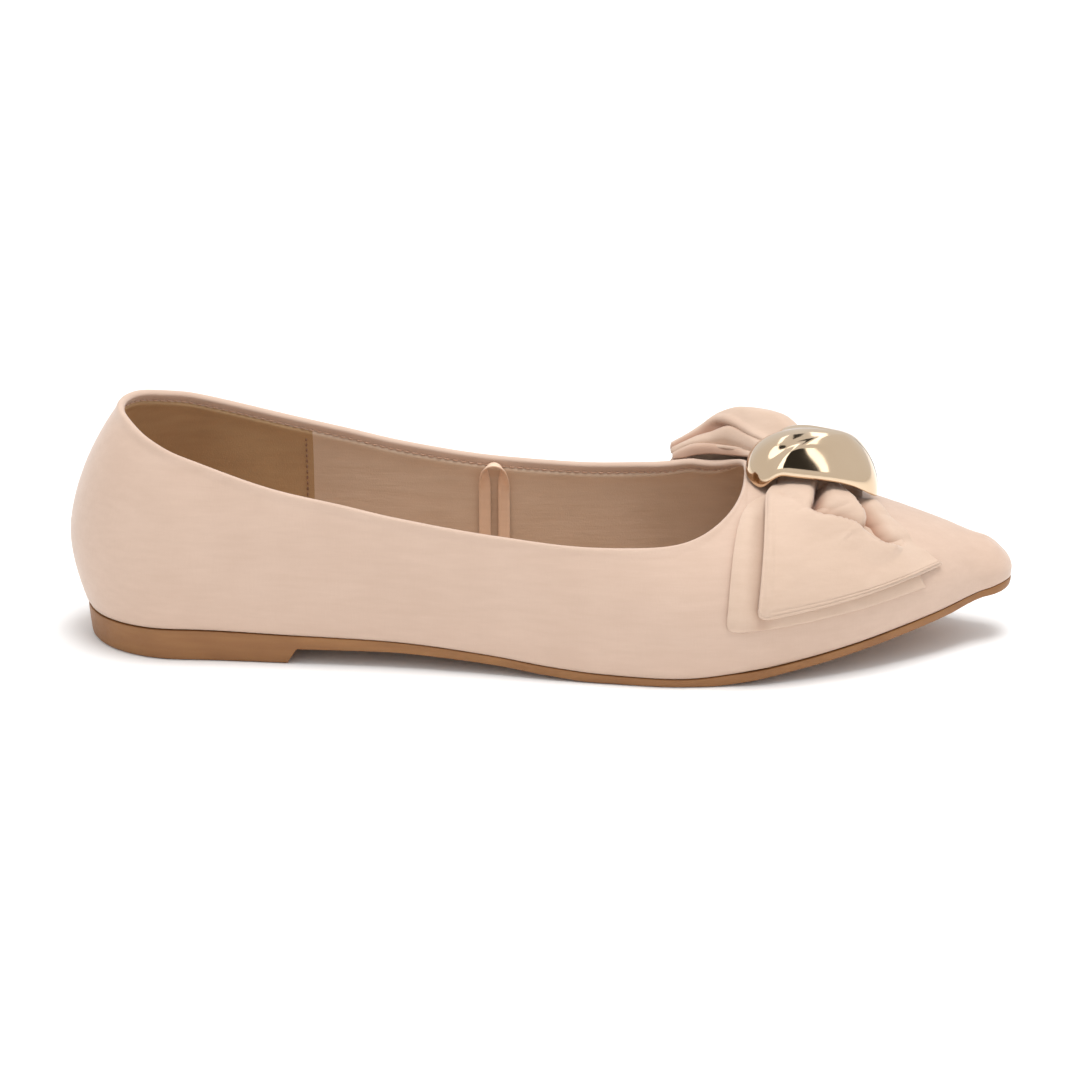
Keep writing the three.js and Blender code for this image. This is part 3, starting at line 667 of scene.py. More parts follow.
def sewn(name, places, outwards, paint, pitch, shown, radius):
    """A sewing thread along a line of places, standing out of the cloth where it shows."""
    run = np.concatenate(([0], np.cumsum(np.linalg.norm(np.diff(places, axis=0), axis=1))))
    count = int(run[-1] / pitch)
    s = np.linspace(0, count * pitch, count * STITCH_POINTS + 1)
    line = np.stack([np.interp(s, run, places[:, k]) for k in range(3)], -1)
    out = np.stack([np.interp(s, run, outwards[:, k]) for k in range(3)], -1)
    out /= np.linalg.norm(out, axis=1, keepdims=True)
    along = np.gradient(line, axis=0)
    along /= np.linalg.norm(along, axis=1, keepdims=True)
    across = np.cross(along, out)
    phase = (s / pitch) % 1.0
    arch = np.sin(math.pi * np.clip(phase / shown, 0, 1)) ** 0.35 * (phase < shown)
    centre = line + out * (radius * (1.9 * arch - 1.2))[:, None]
    thick = radius * (0.55 + 0.45 * arch)
    turn = np.linspace(0, 2 * math.pi, THREAD_SIDES + 1)
    ring = out[:, None] * np.cos(turn)[None, :, None] + across[:, None] * np.sin(turn)[None, :, None]
    tube = centre[:, None] + ring * thick[:, None, None]
    first, last = (end[None].repeat(THREAD_SIDES + 1, 0) for end in (centre[0], centre[-1]))
    tube = np.concatenate((first[None], tube, last[None]))
    thread, corners, faces = grid_piece(name, len(tube) - 1, THREAD_SIDES)
    set_points(thread, tube[corners])
    close_up(thread)
    thread.data.materials.append(paint)
    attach(thread, "root")


def thread_material(name, colour):
    paint, tree, shader = new_material(name, Roughness=0.6, Sheen_Weight=0.2)
    spot = object_spot(tree)
    twist = noise(tree, spot, 1800.0)
    lit, shaded = (*colour, 1), (*(c * 0.8 for c in colour), 1)
    tree.links.new(mixed(tree, twist, lit, shaded), shader.inputs["Base Color"])
    return paint


collar_line, collar_out = [], []
stitched = [(at, OUTER) for at in np.linspace(184.5, 0, 130)]
stitched += [(at, INNER) for at in np.linspace(1, 185.5, 130)]
for at, side in stitched:
    rises, deep = down_the_wall(at, side, (0, COLLAR_STITCH_DEEP, 4), 2)
    skin = off_wall(at, side, rises[1], -WALL)
    collar_line.append(skin)
    collar_out.append(off_wall(at, side, rises[1], -WALL - 1) - skin)
tan_thread = thread_material("tan_thread", (0.6, 0.37, 0.25))
sewn("collar_stitches", np.array(collar_line), np.array(collar_out), tan_thread, **COLLAR_THREAD)

brown_thread = thread_material("brown_thread", (0.26, 0.13, 0.065))
for side, label in ((OUTER, "outer"), (INNER, "inner")):
    rises, deep = down_the_wall(COUNTER_STITCH_AT, side, (0, 5.0), 30)
    above_the_sock = wall_at(COUNTER_STITCH_AT, side, rises[1:])[1] > seat_at(COUNTER_STITCH_AT) + 3.5
    rises = rises[1:][above_the_sock]
    skin = off_wall(COUNTER_STITCH_AT, side, rises, -WALL - COUNTER_THICK)
    away = off_wall(COUNTER_STITCH_AT, side, rises, -WALL - COUNTER_THICK - 1) - skin
    sewn(f"counter_stitches_{label}", skin, away, brown_thread, **COUNTER_THREAD)

# Outsole: one thin moulding of tan rubber with its low heel, cemented under the lasted upper. It lies on the
# floor at the heel and the ball, is hollow under the arch and springs up at the toe. The heel's front face
# is its breast.
BREAST = 62.3
BREAST_SLOPE = 2.6
TREAD_STARTS = 147
TREAD_ENDS = 178
SOLE_ROWS = (
    # at, height of the underside
    (64.9, 4.2),
    (90, 4.4),
    (106, 3.7),
    (120, 2.7),
    (134, 1.1),
    (TREAD_STARTS, 0),
    (TREAD_ENDS, 0),
    (188, 1.0),
    (196, 2.2),
    (208, 4.1),
    (220, 6.2),
    (233, 8.7),
    (245, 11.2),
    (253.5, 13.3),
    (262, 15.1),
)
(under_at,) = column_curves(SOLE_ROWS)
SOLE_LIP = 0.15
SOLE_UP = 0.12
SOLE_ROUND = 0.8
HEEL_TAPER = 0.8
SPECKLE_HIGH = 0.00005
SOLE_EDGE = (
    # share of the rounding inwards and upwards
    (3.2, 0.0),
    (1.0, 0.0),
    (0.5, 0.13),
    (0.13, 0.5),
    (0.0, 1.0),
)
SOLE_TOP_EDGE = (
    # how far inwards, and how far below the top
    (0.05, 0.5),
    (0.15, 0.1),
    (0.5, 0.0),
    (4.0, 0.0),
)
sole_places = np.concatenate(
    (
        np.linspace(0, HEEL_CENTRE, 25)[:-1],
        np.linspace(HEEL_CENTRE, BREAST - 0.6, 13),
        (BREAST - 0.2, BREAST, BREAST + 0.5, BREAST + BREAST_SLOPE - 0.5, BREAST + BREAST_SLOPE),
        np.linspace(BREAST + BREAST_SLOPE + 0.5, TREAD_STARTS, 29),
        np.linspace(TREAD_STARTS, TREAD_ENDS, 13)[1:],
        np.linspace(TREAD_ENDS, TOE_CENTRE, 35)[1:],
        np.linspace(TOE_CENTRE, LENGTH, 13)[1:],
    )
)
sole_profile = []
for at in sole_places:
    lean = (at - BREAST) / BREAST_SLOPE
    bottom = 0.0 if at <= BREAST else float(under_at(at)) * float(np.clip(lean, 0, 1))
    top = float(seat_at(at)) + SOLE_UP
    taper = HEEL_TAPER * (top - bottom) / float(seat_at(0.0))
    rounding = min(SOLE_ROUND, (top - bottom) / 3)
    half = {}
    for side in (OUTER, INNER):
        foot = float(outer_at(at) if side == OUTER else inner_at(at)) + SOLE_LIP
        line = [(foot - taper - rounding * a, bottom + rounding * b) for a, b in SOLE_EDGE]
        line += [(foot - taper * 0.5, (bottom + top) / 2)]
        line += [(foot - inwards, top - down) for inwards, down in SOLE_TOP_EDGE]
        half[side] = [place(np.float64(at), side, max(0.0, r), z) for r, z in line]
    sole_profile.append(half[OUTER] + half[INNER][::-1] + half[OUTER][:1])
sole_profile = np.array(sole_profile)
outsole, corners, faces = grid_piece("rubber_outsole", len(sole_places) - 1, sole_profile.shape[1] - 1)
set_points(outsole, sole_profile[corners])
close_up(outsole)
bpy.ops.object.shade_smooth_by_angle(angle=math.radians(32))

rubber, tree, shader = new_material("tan_rubber", Specular_IOR_Level=0.35)
spot = object_spot(tree)
speckle = noise(tree, spot, 1500.0, 3.0)
streak = noise(tree, stretched(tree, spot, (0.1, 0.4, 1.0)), 500.0, 3.0)
cloudy = noise(tree, spot, 55.0, 3.0)
tone = ranged(tree, added(tree, cloudy, streak), 0.7, 1.3, 0, 1)
tree.links.new(mixed(tree, tone, (0.3, 0.14, 0.05, 1), (0.24, 0.105, 0.037, 1)), shader.inputs["Base Color"])
tree.links.new(ranged(tree, speckle, 0.3, 0.7, 0.42, 0.6), shader.inputs["Roughness"])
tree.links.new(bumped(tree, speckle, SPECKLE_HIGH, 0.5), shader.inputs["Normal"])
outsole.data.materials.append(rubber)
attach(outsole, "root")
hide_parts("outsole")

# Insole: a nude leather sock over a board, laid in the upper on the sole. It is dished a little under the
# heel, and its edge is rounded over.
INSOLE_THICK = 2.4
INSOLE_NARROWS = 241.0
INSOLE_ENDS = 251.0
INSOLE_IN = WALL + 0.45
INSOLE_DISH = 1.2
DISH_FADES = 50
INSOLE_EDGE = 0.6
INSOLE_ROWS = (
    # share of the half width, share of the dish, how far the edge is rounded down
    (0.985, 0.12, 0.12),
    (0.96, 0.0, 0.0),
    (0.9, 0.02, 0.0),
    (0.8, 0.3, 0.0),
    (0.7, 0.75, 0.0),
    (0.5, 1.0, 0.0),
    (0.2, 1.0, 0.0),
)
insole_places = np.concatenate(
    (
        np.linspace(0, HEEL_CENTRE, 17)[:-1],
        np.linspace(HEEL_CENTRE, INSOLE_NARROWS, 49)[:-1],
        np.linspace(INSOLE_NARROWS, INSOLE_ENDS, 7),
    )
)
insole_profile = []
for at in insole_places:
    seat = float(seat_at(at))
    dish = INSOLE_DISH * (1 - float(ease((at - HEEL_CENTRE) / DISH_FADES)))
    half = {}
    for side in (OUTER, INNER):
        low = off_wall(at, side, 0.0, -INSOLE_IN) * (1, 1, 0) + (0, 0, seat)
        edge = off_wall(at, side, INSOLE_THICK / belly_up(at), -INSOLE_IN) * (1, 1, 0)
        middle = place(np.float64(at), side, 0.0, 0.0)
        line = [low, edge + (0, 0, seat + INSOLE_THICK - INSOLE_EDGE)]
        for share, dished, rounded in INSOLE_ROWS:
            height = seat + INSOLE_THICK - dish * dished - rounded
            line.append(middle + (edge - middle) * share + (0, 0, height))
        half[side] = line
    insole_profile.append(half[OUTER] + half[INNER][::-1] + half[OUTER][:1])
insole_profile = np.array(insole_profile)
insole, corners, faces = grid_piece("leather_insole", len(insole_places) - 1, insole_profile.shape[1] - 1)
set_points(insole, insole_profile[corners])
close_up(insole)
sock_leather = leather_material(
    "sock_leather", (0.5, 0.33, 0.22), (0.44, 0.28, 0.18), 0.0001, 0.00012, Specular_IOR_Level=0.3
)
insole.data.materials.append(sock_leather)
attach(insole, "root")
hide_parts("insole")

# Bow: two bands of satin, each run from the outer side over the vamp to the inner side, turned in along
# their edges, gathered under the dome and caught down at their ends. `out` runs from the dome to the end of
# a wing and `across` from its back edge to its front one.
GATHERED = 0.2
TOP_OUTER = (
    # out, back edge, front edge, how far the back edge and the front edge stand off
    (0, 196.5, 219, 0, 0),
    (0.17, 196, 219.5, 0, 0),
    (0.22, 193.8, 221.3, 0.2, 0),
    (0.3, 192.3, 225, 0.6, -0.2),
    (0.45, 191.9, 229.5, 0.9, -0.6),
    (0.6, 191.6, 233.5, 0.8, -0.9),
    (0.8, 191, 238, 0.5, -0.6),
    (1, 190.2, 241, 0.1, 0.0),
)
TOP_INNER = (
    (0, 196.5, 219, 0, 0),
    (0.17, 195.5, 219, 0.8, 0.3),
    (0.3, 187.5, 218, 8.8, 6),
    (0.45, 178, 217, 10.6, 7.5),
    (0.6, 170.3, 216.5, 8.6, 6.5),
    (0.8, 165.3, 216.5, 4, 3),
    (1, 163.2, 217, 0.4, 0.4),
)
UNDER_OUTER = (
    (0, 196, 218, 0, 0),
    (0.17, 195.6, 218.5, 0, 0),
    (0.24, 191.5, 222, 0, 0),
    (0.32, 187.6, 226, 0, 0),
    (0.42, 185.6, 229, 0, 0),
    (0.6, 184, 232, 0, 0),
    (1, 182.3, 236.5, 0, 0),
)
UNDER_INNER = (
    (0, 196, 218, 0, 0),
    (0.17, 195.6, 217.5, 0.2, 0),
    (0.3, 186, 216, 2.4, 1.2),
    (0.45, 176, 215, 3.4, 2),
    (0.6, 168.5, 214.5, 2.6, 1.8),
    (0.8, 163.5, 214.5, 1.2, 0.8),
    (1, 161.2, 214.5, 0, 0),
)
OUTER_FOLDS = (
    # across, height of the gather, where it ends
    (0, 0.2, 0.9),
    (0.08, 1.5, 0.85),
    (0.25, 3.1, 0.9),
    (0.5, 3.6, 0.9),
    (0.75, 3.2, 0.85),
    (0.92, 1.4, 0.8),
    (1, 0, 0.7),
)
INNER_FOLDS = (
    (0, 0, 0.9),
    (0.14, 2.2, 0.9),
    (0.26, 0.2, 0.8),
    (0.42, 3.4, 0.9),
    (0.62, 3.4, 0.9),
    (0.76, 0.6, 0.7),
    (0.88, 2.2, 0.8),
    (1, 0, 0.9),
)
FLAT_FOLDS = ((0, 0, 0.9), (1, 0, 0.9))

# A band is thinnest at its very ends.
THIN_END = 0.35
THICKENS_OVER = 0.012
# Each side has its outline, its gathers, and how high its end's back and front corners stand over the sole.
TOP_RIBBON = {
    "thick": 1.6,
    "lift": 2.3,
    "sinks": 2.1,
    OUTER: (TOP_OUTER, OUTER_FOLDS, 15.5, 13.0),
    INNER: (TOP_INNER, INNER_FOLDS, 17.0, 12.0),
}
UNDER_RIBBON = {
    "thick": 1.5,
    "lift": 0.35,
    "sinks": 0.0,
    OUTER: (UNDER_OUTER, FLAT_FOLDS, 13.0, 9.5),
    INNER: (UNDER_INNER, FLAT_FOLDS, 14.0, 9.5),
}


def ribbon_point(ribbon, side, out, across, lowered=0.0):
    """A place on one wing, laid over the upper."""
    wing, folds, back_height, front_height = ribbon[side]
    back, front, back_off, front_off = column_curves(wing)
    high, ends = column_curves(folds)
    opened = ease((out - GATHERED) / (ends(across) - GATHERED))
    at = back(out) + (front(out) - back(out)) * across
    end_at = wing[-1][1] + (wing[-1][2] - wing[-1][1]) * across
    end_z = seat_at(end_at) + back_height + (front_height - back_height) * across
    rise = 2 + (rise_at_height(end_at, side, end_z) - 2) * out
    freed = 0.5 + 0.5 * ease((out - GATHERED) / 0.15)
    fold = high(across) * freed * (1 - opened)
    off = back_off(out) + (front_off(out) - back_off(out)) * across
    return off_wall(at, side, rise, ribbon["lift"] + fold + off - lowered)


def along_the_wing():
    """Stations from the end of the outer wing, over the vamp, to the end of the inner one."""
    near_end = 1 - np.array((0, 0.004, 0.012, 0.02, 0.026, 0.032, 0.04, 0.048, 0.054, 0.06, 0.07, 0.085))
    outs = np.concatenate((near_end, np.linspace(0.9, 0.22, 80), np.linspace(0.21, 0, 18)))
    return np.concatenate((-outs, outs[::-1][1:]))


def across_the_wing(count):
    """Shares of the width, closer together at both edges."""
    edge = np.array((0, 0.004, 0.01, 0.016, 0.022, 0.03))
    return np.concatenate((edge, np.linspace(0.04, 0.96, count), 1 - edge[::-1]))


def ribbon_piece(name, ribbon, count, point, shaped):
    """A band of cloth over both wings: points of its middle, given thickness square to its own surface."""
    stations = along_the_wing()
    acrosses = across_the_wing(count)
    middle = []
    for station in stations:
        side = OUTER if station < 0 else INNER
        middle.append(point(ribbon, side, np.full(len(acrosses), abs(station)), acrosses))
    middle = np.array(middle)
    # `shaped` gives how far each place is moved, and how much painted shade it gets in the folds.
    moved, deep = shaped(*np.meshgrid(stations, acrosses, indexing="ij"), middle[:, :, 0])
    for turn in range(2):
        normal = np.cross(np.gradient(middle, axis=1), np.gradient(middle, axis=0))
        normal /= np.linalg.norm(normal, axis=2, keepdims=True) + 1e-12
        if turn == 0:
            middle = middle + normal * moved[:, :, None]
    plump = 0.5 + 0.5 * np.sin(math.pi * acrosses) ** 0.3
    ended = np.minimum(1.0, THIN_END + (1 - np.abs(stations)) / THICKENS_OVER)
    half = ribbon["thick"] / 2 * ended[:, None, None] * plump[None, :, None]
    top, under = middle + normal * half, middle - normal * half
    loops = np.concatenate((top, under[:, ::-1], top[:, :1]), axis=1)
    first, last = (np.concatenate((m, m[::-1], m[:1])) for m in (middle[0], middle[-1]))
    loops = np.concatenate((first[None], loops, last[None]))
    # The painted shade follows the points round the loop and is kept on the piece, for the satin to darken
    # by.
    painted_shade_rows = np.concatenate((deep, deep[:, ::-1], deep[:, :1]), axis=1)
    painted_shade_rows = np.concatenate((painted_shade_rows[:1], painted_shade_rows, painted_shade_rows[-1:]))
    piece, corners, faces = grid_piece(name, len(loops) - 1, loops.shape[1] - 1)
    set_points(piece, loops[corners])
    piece.data.attributes.new("painted_fold_shade", "FLOAT", "POINT")
    piece.data.attributes["painted_fold_shade"].data.foreach_set("value", painted_shade_rows[corners].astype(np.float32))
    close_up(piece)
    return piece


# Folds of the near wing: (millimetres along the shoe, millimetres down the wing) for each corner of a
# line. A lip stands up on its left, seen from the dome, and drops into a pocket on its right.
WING_LENGTH = 60.0
LIPS = (
    # rise, its width, drop, its width, then the line
    (0.9, 5.0, 4.6, 2.9, ((206.4, 6), (205.4, 14), (204.8, 20.5), (204.0, 24), (204.6, 26.4))),
    (1.4, 5.0, 1.8, 3.2,
     ((203.6, 24.6), (204.6, 26.4), (207.1, 27.7), (212, 28.5), (217.5, 30.9), (219, 32.6))),
    (1.2, 5.0, 3.8, 4.2, ((216.5, 30.4), (220.7, 35), (223.1, 37.8), (226.3, 40.2), (230.6, 41.6))),
    (1.1, 3.2, 4.4, 4.6,
     ((210.6, 4), (212, 9), (214.3, 15), (216.8, 20.5), (218.9, 25), (219.5, 29), (219.2, 33))),
)
LIP_TURNS = 0.9
LIP_FADES = (0.14, 0.2)
CREASES = (
    # height, less than nothing for a trough, its half width, then the line
    (0.9, 2.4, ((208.6, 8), (209.8, 15), (212.5, 21), (214.5, 26))),
    (1.5, 3.4, ((219, 9), (223, 17), (228.0, 24), (231.6, 31), (233.0, 37))),
    (-1.2, 1.5, ((207.0, 11), (206.6, 19), (207.2, 24.5))),
    (-1.4, 2.6, ((221.5, 26), (223, 31.5), (225.2, 36.2))),
    (-0.4, 1.2, ((195.5, 17), (199.3, 20.5), (202.2, 23.4), (203.8, 24.6))),
    (0.35, 2.2, ((197.5, 13), (201, 17.5), (203.4, 21.5))),
    (-0.45, 0.9, ((208.5, 24.8), (212, 23.4), (216.4, 21.6))),
    (0.3, 4.0, ((196, 34), (201, 42), (206, 52))),
    (-0.25, 4.0, ((214, 37), (220, 45), (226, 52))),
)
CREASE_FADES = 0.25
DEEPEST_POCKET = 4.7
# A pocket this deep gets the full painted shade.
FULLY_SHADED = 3.0
# The two seams across the end, the hem along the back edge and the roll beside it, in shares of the wing.
END_SEAMS = (0.981, 0.958)
SEAM_HALF = 0.0045
SEAM_DEEP = 0.22
HEM = 0.019
HEM_HALF = 0.006
HEM_DEEP = 0.16
ROLLED_BACK = 0.035
ROLLED_HALF = 0.02
ROLLED_HIGH = 0.5


def from_line(line, x, y):
    """Distance of points from a line of corners, less than nothing on its right, and the share along it."""
    line = np.array(line, float)
    knots = np.arange(len(line))
    finer = np.linspace(0, len(line) - 1, 5 * len(line))
    line = np.stack([curve_through(knots, line[:, k])(finer) for k in range(2)], -1)
    nearest = np.full(x.shape, 1e9)
    signed = np.zeros(x.shape)
    share = np.zeros(x.shape)
    lengths = np.linalg.norm(np.diff(line, axis=0), axis=1)
    passed = 0.0
    for start, end, length in zip(line[:-1], line[1:], lengths):
        dx, dy = (end - start) / length
        along = np.clip((x - start[0]) * dx + (y - start[1]) * dy, 0, length)
        away = np.hypot(x - start[0] - dx * along, y - start[1] - dy * along)
        side = np.sign(dx * (y - start[1]) - dy * (x - start[0]))
        closer = away < nearest - 1e-9
        nearest = np.where(closer, away, nearest)
        signed = np.where(closer, away * side, signed)
        share = np.where(closer, (passed + along) / lengths.sum(), share)
        passed += length
    return signed, share


def near_folds(stations, across, x):
    """How far the near wing is moved square to itself, and how much painted shade each place of the bow
    gets.
    """
    out = np.maximum(0, -stations)
    y = out * WING_LENGTH
    moved = np.zeros(out.shape)
    for rise, rise_wide, drop, drop_wide, line in LIPS:
        s, share = from_line(line, x, y)
        fade = ease(share / LIP_FADES[0]) * ease((1 - share) / LIP_FADES[1])
        up = rise * hump(np.maximum(s, 0), 0, rise_wide)
        turned = ease(-s / LIP_TURNS)
        low = -drop * hump(np.maximum(-s - LIP_TURNS, 0), 0, drop_wide)
        moved += fade * np.where(s > 0, up, up * (1 - turned) + low * turned)
    for height, wide, line in CREASES:
        s, share = from_line(line, x, y)
        fade = ease(share / CREASE_FADES) * ease((1 - share) / CREASE_FADES)
        moved += height * fade * hump(s, 0, wide)
    moved = np.maximum(moved, -DEEPEST_POCKET * ease((0.95 - out) / 0.3) * ease(across / 0.1))

    # Painted shade: deeper near pockets darker, and bands on the far wing's pleats and back edge.
    near = stations < 0
    far = ease((stations - 0.2) / 0.1) * ease((0.75 - stations) / 0.15)
    deep = near * np.clip(-moved / FULLY_SHADED, 0, 1) * ease((out - 0.12) / 0.1)
    deep += far * (hump(across, 0.31, 0.07) + 0.8 * hump(across, 0, 0.07))

    seams = hump(out, END_SEAMS[0], SEAM_HALF) + hump(out, END_SEAMS[1], SEAM_HALF)
    clear_of_dome = ease((out - 0.25) / 0.1)
    moved -= SEAM_DEEP * seams * ease(across / 0.03) + HEM_DEEP * hump(across, HEM, HEM_HALF) * clear_of_dome
    moved += ROLLED_HIGH * hump(across, ROLLED_BACK, ROLLED_HALF) * clear_of_dome * ease((0.99 - out) / 0.03)
    return moved * near, np.clip(deep, 0, 1)


UNDER_SWELL = 1.1
# Strength of the painted shade on the lower band.
UNDER_SHADE = 0.35


def under_swell(stations, across, x):
    """The lower band's near end swells beside its turned back edge, with a strip of painted shade further
    in.
    """
    out = np.maximum(0, -stations)
    swell = UNDER_SWELL * hump(across, 0.06, 0.05) * ease((out - 0.3) / 0.15) * ease((1 - out) / 0.06)
    return swell, UNDER_SHADE * hump(across, 0.17, 0.04) * (out > 0.3)


# The far wing is gathered into pleats that lie over one another, open towards the heel. Each row gives one
# crease from its place under the dome outwards: millimetres along the shoe, off its middle and above ground.
FAR_OUTS = (0.04, 0.17, 0.26, 0.34, 0.42, 0.5, 0.57, 0.63)
FAR_PLEATS = (
    # share of the width, then eight places
    (0.0, (197, 12, 46.6), (190.5, 17, 46.6), (186.5, 22, 45.3), (182.5, 25.8, 44.3),
     (178, 27.6, 44.0), (174, 28.4, 43.4), (170, 29.5, 42.0), (167.5, 31, 41.2)),
    (0.05, (197, 13, 47.0), (190.5, 18.2, 46.9), (186.5, 23.2, 46.3), (182.5, 27, 45.8),
     (178, 28.8, 45.9), (174, 29.6, 45.5), (170, 30.8, 43.6), (167.5, 32, 41.8)),
    (0.1, (197.5, 13.5, 47.0), (190.5, 19.5, 47.0), (186.5, 25, 46.0), (182.5, 29, 45.6),
     (178, 31, 45.4), (174, 31.8, 45.2), (170.3, 33, 43.8), (167.5, 33.6, 42.0)),
    (0.16, (198, 13.5, 47.6), (190.5, 19.5, 48.2), (186.5, 25, 48.0), (182.5, 28.8, 48.1),
     (178, 31.2, 47.0), (174, 32.3, 46.2), (170.2, 33.2, 44.5), (167.2, 34, 42.4)),
    (0.23, (198.5, 14, 48.0), (190.7, 21, 50.0), (187.2, 26.2, 50.3), (183.3, 30.2, 50.8),
     (178, 32.8, 48.2), (174.2, 33.7, 46.7), (170.2, 34.2, 44.6), (167, 34.6, 42.8)),
    (0.29, (199, 15, 47.5), (191, 23.5, 49.0), (187, 28.5, 48.2), (182.5, 33, 47.8),
     (178, 35, 45.8), (174.3, 35.5, 45.0), (170.4, 35.6, 43.4), (167, 35.6, 42.0)),
    (0.34, (199.5, 15.5, 48.0), (191.5, 24.5, 50.0), (187.7, 30, 49.7), (183, 34.5, 50.2),
     (178, 37, 49.4), (174.4, 37, 47.0), (170.5, 36.8, 44.9), (166.8, 36.4, 42.9)),
    (0.39, (199.5, 15, 48.6), (191, 21.7, 50.8), (187.2, 26.8, 51.4), (182.7, 32.2, 52.2),
     (178.4, 37.2, 50.8), (174.6, 37.8, 47.6), (170.7, 37.6, 45.3), (166.7, 37.2, 43.1)),
    (0.43, (200.5, 16, 49.0), (192, 23.5, 51.6), (187.8, 28.5, 52.6), (184, 33.5, 53.2),
     (179.1, 38.2, 51.4), (175, 38.6, 48.0), (171, 38.3, 45.5), (166.6, 38, 43.0)),
    (0.5, (203, 18, 49.6), (195.6, 27.5, 55.4), (190.6, 31, 55.6), (186, 35, 54.9),
     (179.8, 39, 51.6), (175.2, 39.6, 48.0), (171.3, 39, 45.3), (166.9, 38.8, 42.6)),
    (0.6, (206, 18.5, 49.0), (198, 29.5, 54.6), (194, 34.5, 53.8), (188.5, 38, 52.0),
     (182, 40, 48.6), (177, 40.2, 45.0), (173, 39.8, 42.5), (168.5, 39.4, 40.5)),
)
FAR_FRONT = (0.74, 0.87, 1.0)
FAR_FREED = (0.62, 0.84)
CORNER_ACROSS = 0.06
CORNER_ROUND = 2.6


def top_ribbon_point(ribbon, side, out, across):
    """The upper band, whose far wing follows its pleats until they run out near its end."""
    if side == OUTER or out[0] >= FAR_FREED[1]:
        return rounded_corner_point(ribbon, side, out, across)
    reached = float(np.clip(out[0], FAR_OUTS[0], FAR_OUTS[-1]))
    creases = [row[0] for row in FAR_PLEATS]
    rows = []
    for row in FAR_PLEATS:
        paths = [curve_through(FAR_OUTS, path) for path in zip(*row[1:])]
        rows.append([float(path(reached)) for path in paths])
    front = np.array(FAR_FRONT)
    rows += list(ribbon_point(ribbon, side, np.full(len(front), reached), front))
    pleated = [curve_through(creases + list(FAR_FRONT), [row[k] for row in rows])(across) for k in range(3)]
    plain = rounded_corner_point(ribbon, side, out, across)
    kept = ease(out / 0.06) * (1 - ease((out - FAR_FREED[0]) / (FAR_FREED[1] - FAR_FREED[0])))
    return plain + (np.stack(pleated, -1) - plain) * kept[:, None]


def rounded_corner_point(ribbon, side, out, across):
    """A wing whose back corner is rounded, and whose front sinks towards the upper on the outer side."""
    away = np.minimum(across / CORNER_ACROSS, 1)
    up = CORNER_ROUND * (1 - np.sqrt(np.clip(1 - (1 - away) ** 2, 0, 1)))
    laid = ease((across - 0.78) / 0.22) * ease((out - 0.24) / 0.12) * (1 - 0.4 * ease((out - 0.88) / 0.12))
    low = ribbon["sinks"] * laid if side == OUTER else 0.0
    return ribbon_point(ribbon, side, out * (1 - up / WING_LENGTH), across, low)


ribbon_satin = cloth_material(
    "ribbon_satin", (0.605, 0.447, 0.345), (0.54, 0.387, 0.288), SATIN_THREADS, SATIN_DEPTH, **SATIN_SHINE
)
# Deep in a fold the satin is lit by itself: painted shade mixes its colour there towards a dark warm brown.
tree = ribbon_satin.node_tree
shader = tree.nodes["Principled BSDF"]
weave_colour = shader.inputs["Base Color"].links[0].from_socket
fold_shade_share = wire(tree, "ShaderNodeAttribute", attribute_name="painted_fold_shade").outputs["Fac"]
fold_shaded_colour = mixed(tree, ranged(tree, fold_shade_share, 0.0, 1.0, 0.0, 0.85), weave_colour, (0.37, 0.19, 0.12, 1))
tree.links.new(fold_shaded_colour, shader.inputs["Base Color"])

under_ribbon = ribbon_piece("under_ribbon_satin", UNDER_RIBBON, 40, rounded_corner_point, under_swell)
under_ribbon.data.materials.append(ribbon_satin)
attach(under_ribbon, "root")
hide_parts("under_ribbon")

top_ribbon = ribbon_piece("top_ribbon_satin", TOP_RIBBON, 110, top_ribbon_point, near_folds)
top_ribbon.data.materials.append(ribbon_satin)
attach(top_ribbon, "root")
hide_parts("top_ribbon")

# Dome: a hollow bean of polished metal in pale gold, longer along the shoe, that clasps the gathers. Its
# sides are arched over the ribbons and its heel end comes down to the vamp.
DOME_CENTRE = 205.7
DOME_OFF_SPINE = -3.6
DOME_LENGTH = 36.9
DOME_WIDTH = 28.0
DOME_SQUARE = 2.6
DOME_TOP = 58.5
DOME_TOP_AHEAD = 8.0
DOME_WALL = 1.2
DOME_TILT = math.radians(9)
DOME_FULL = 2.15
DOME_ARCH = {OUTER: 8.2, INNER: 10.2}
ARCH_GAIN = 0.17
ARCH_STARTS = 0.82
ARCH_RISES = 0.35
ARCH_FALLS = 0.75
DOME_CLEAR = 0.6
RIM_ROLL = 0.25
DOME_AROUND = 48
DOME_RINGS = 11


def squared(value):
    """Makes a round outline a little square."""
    return np.sign(value) * np.abs(value) ** (2 / DOME_SQUARE)


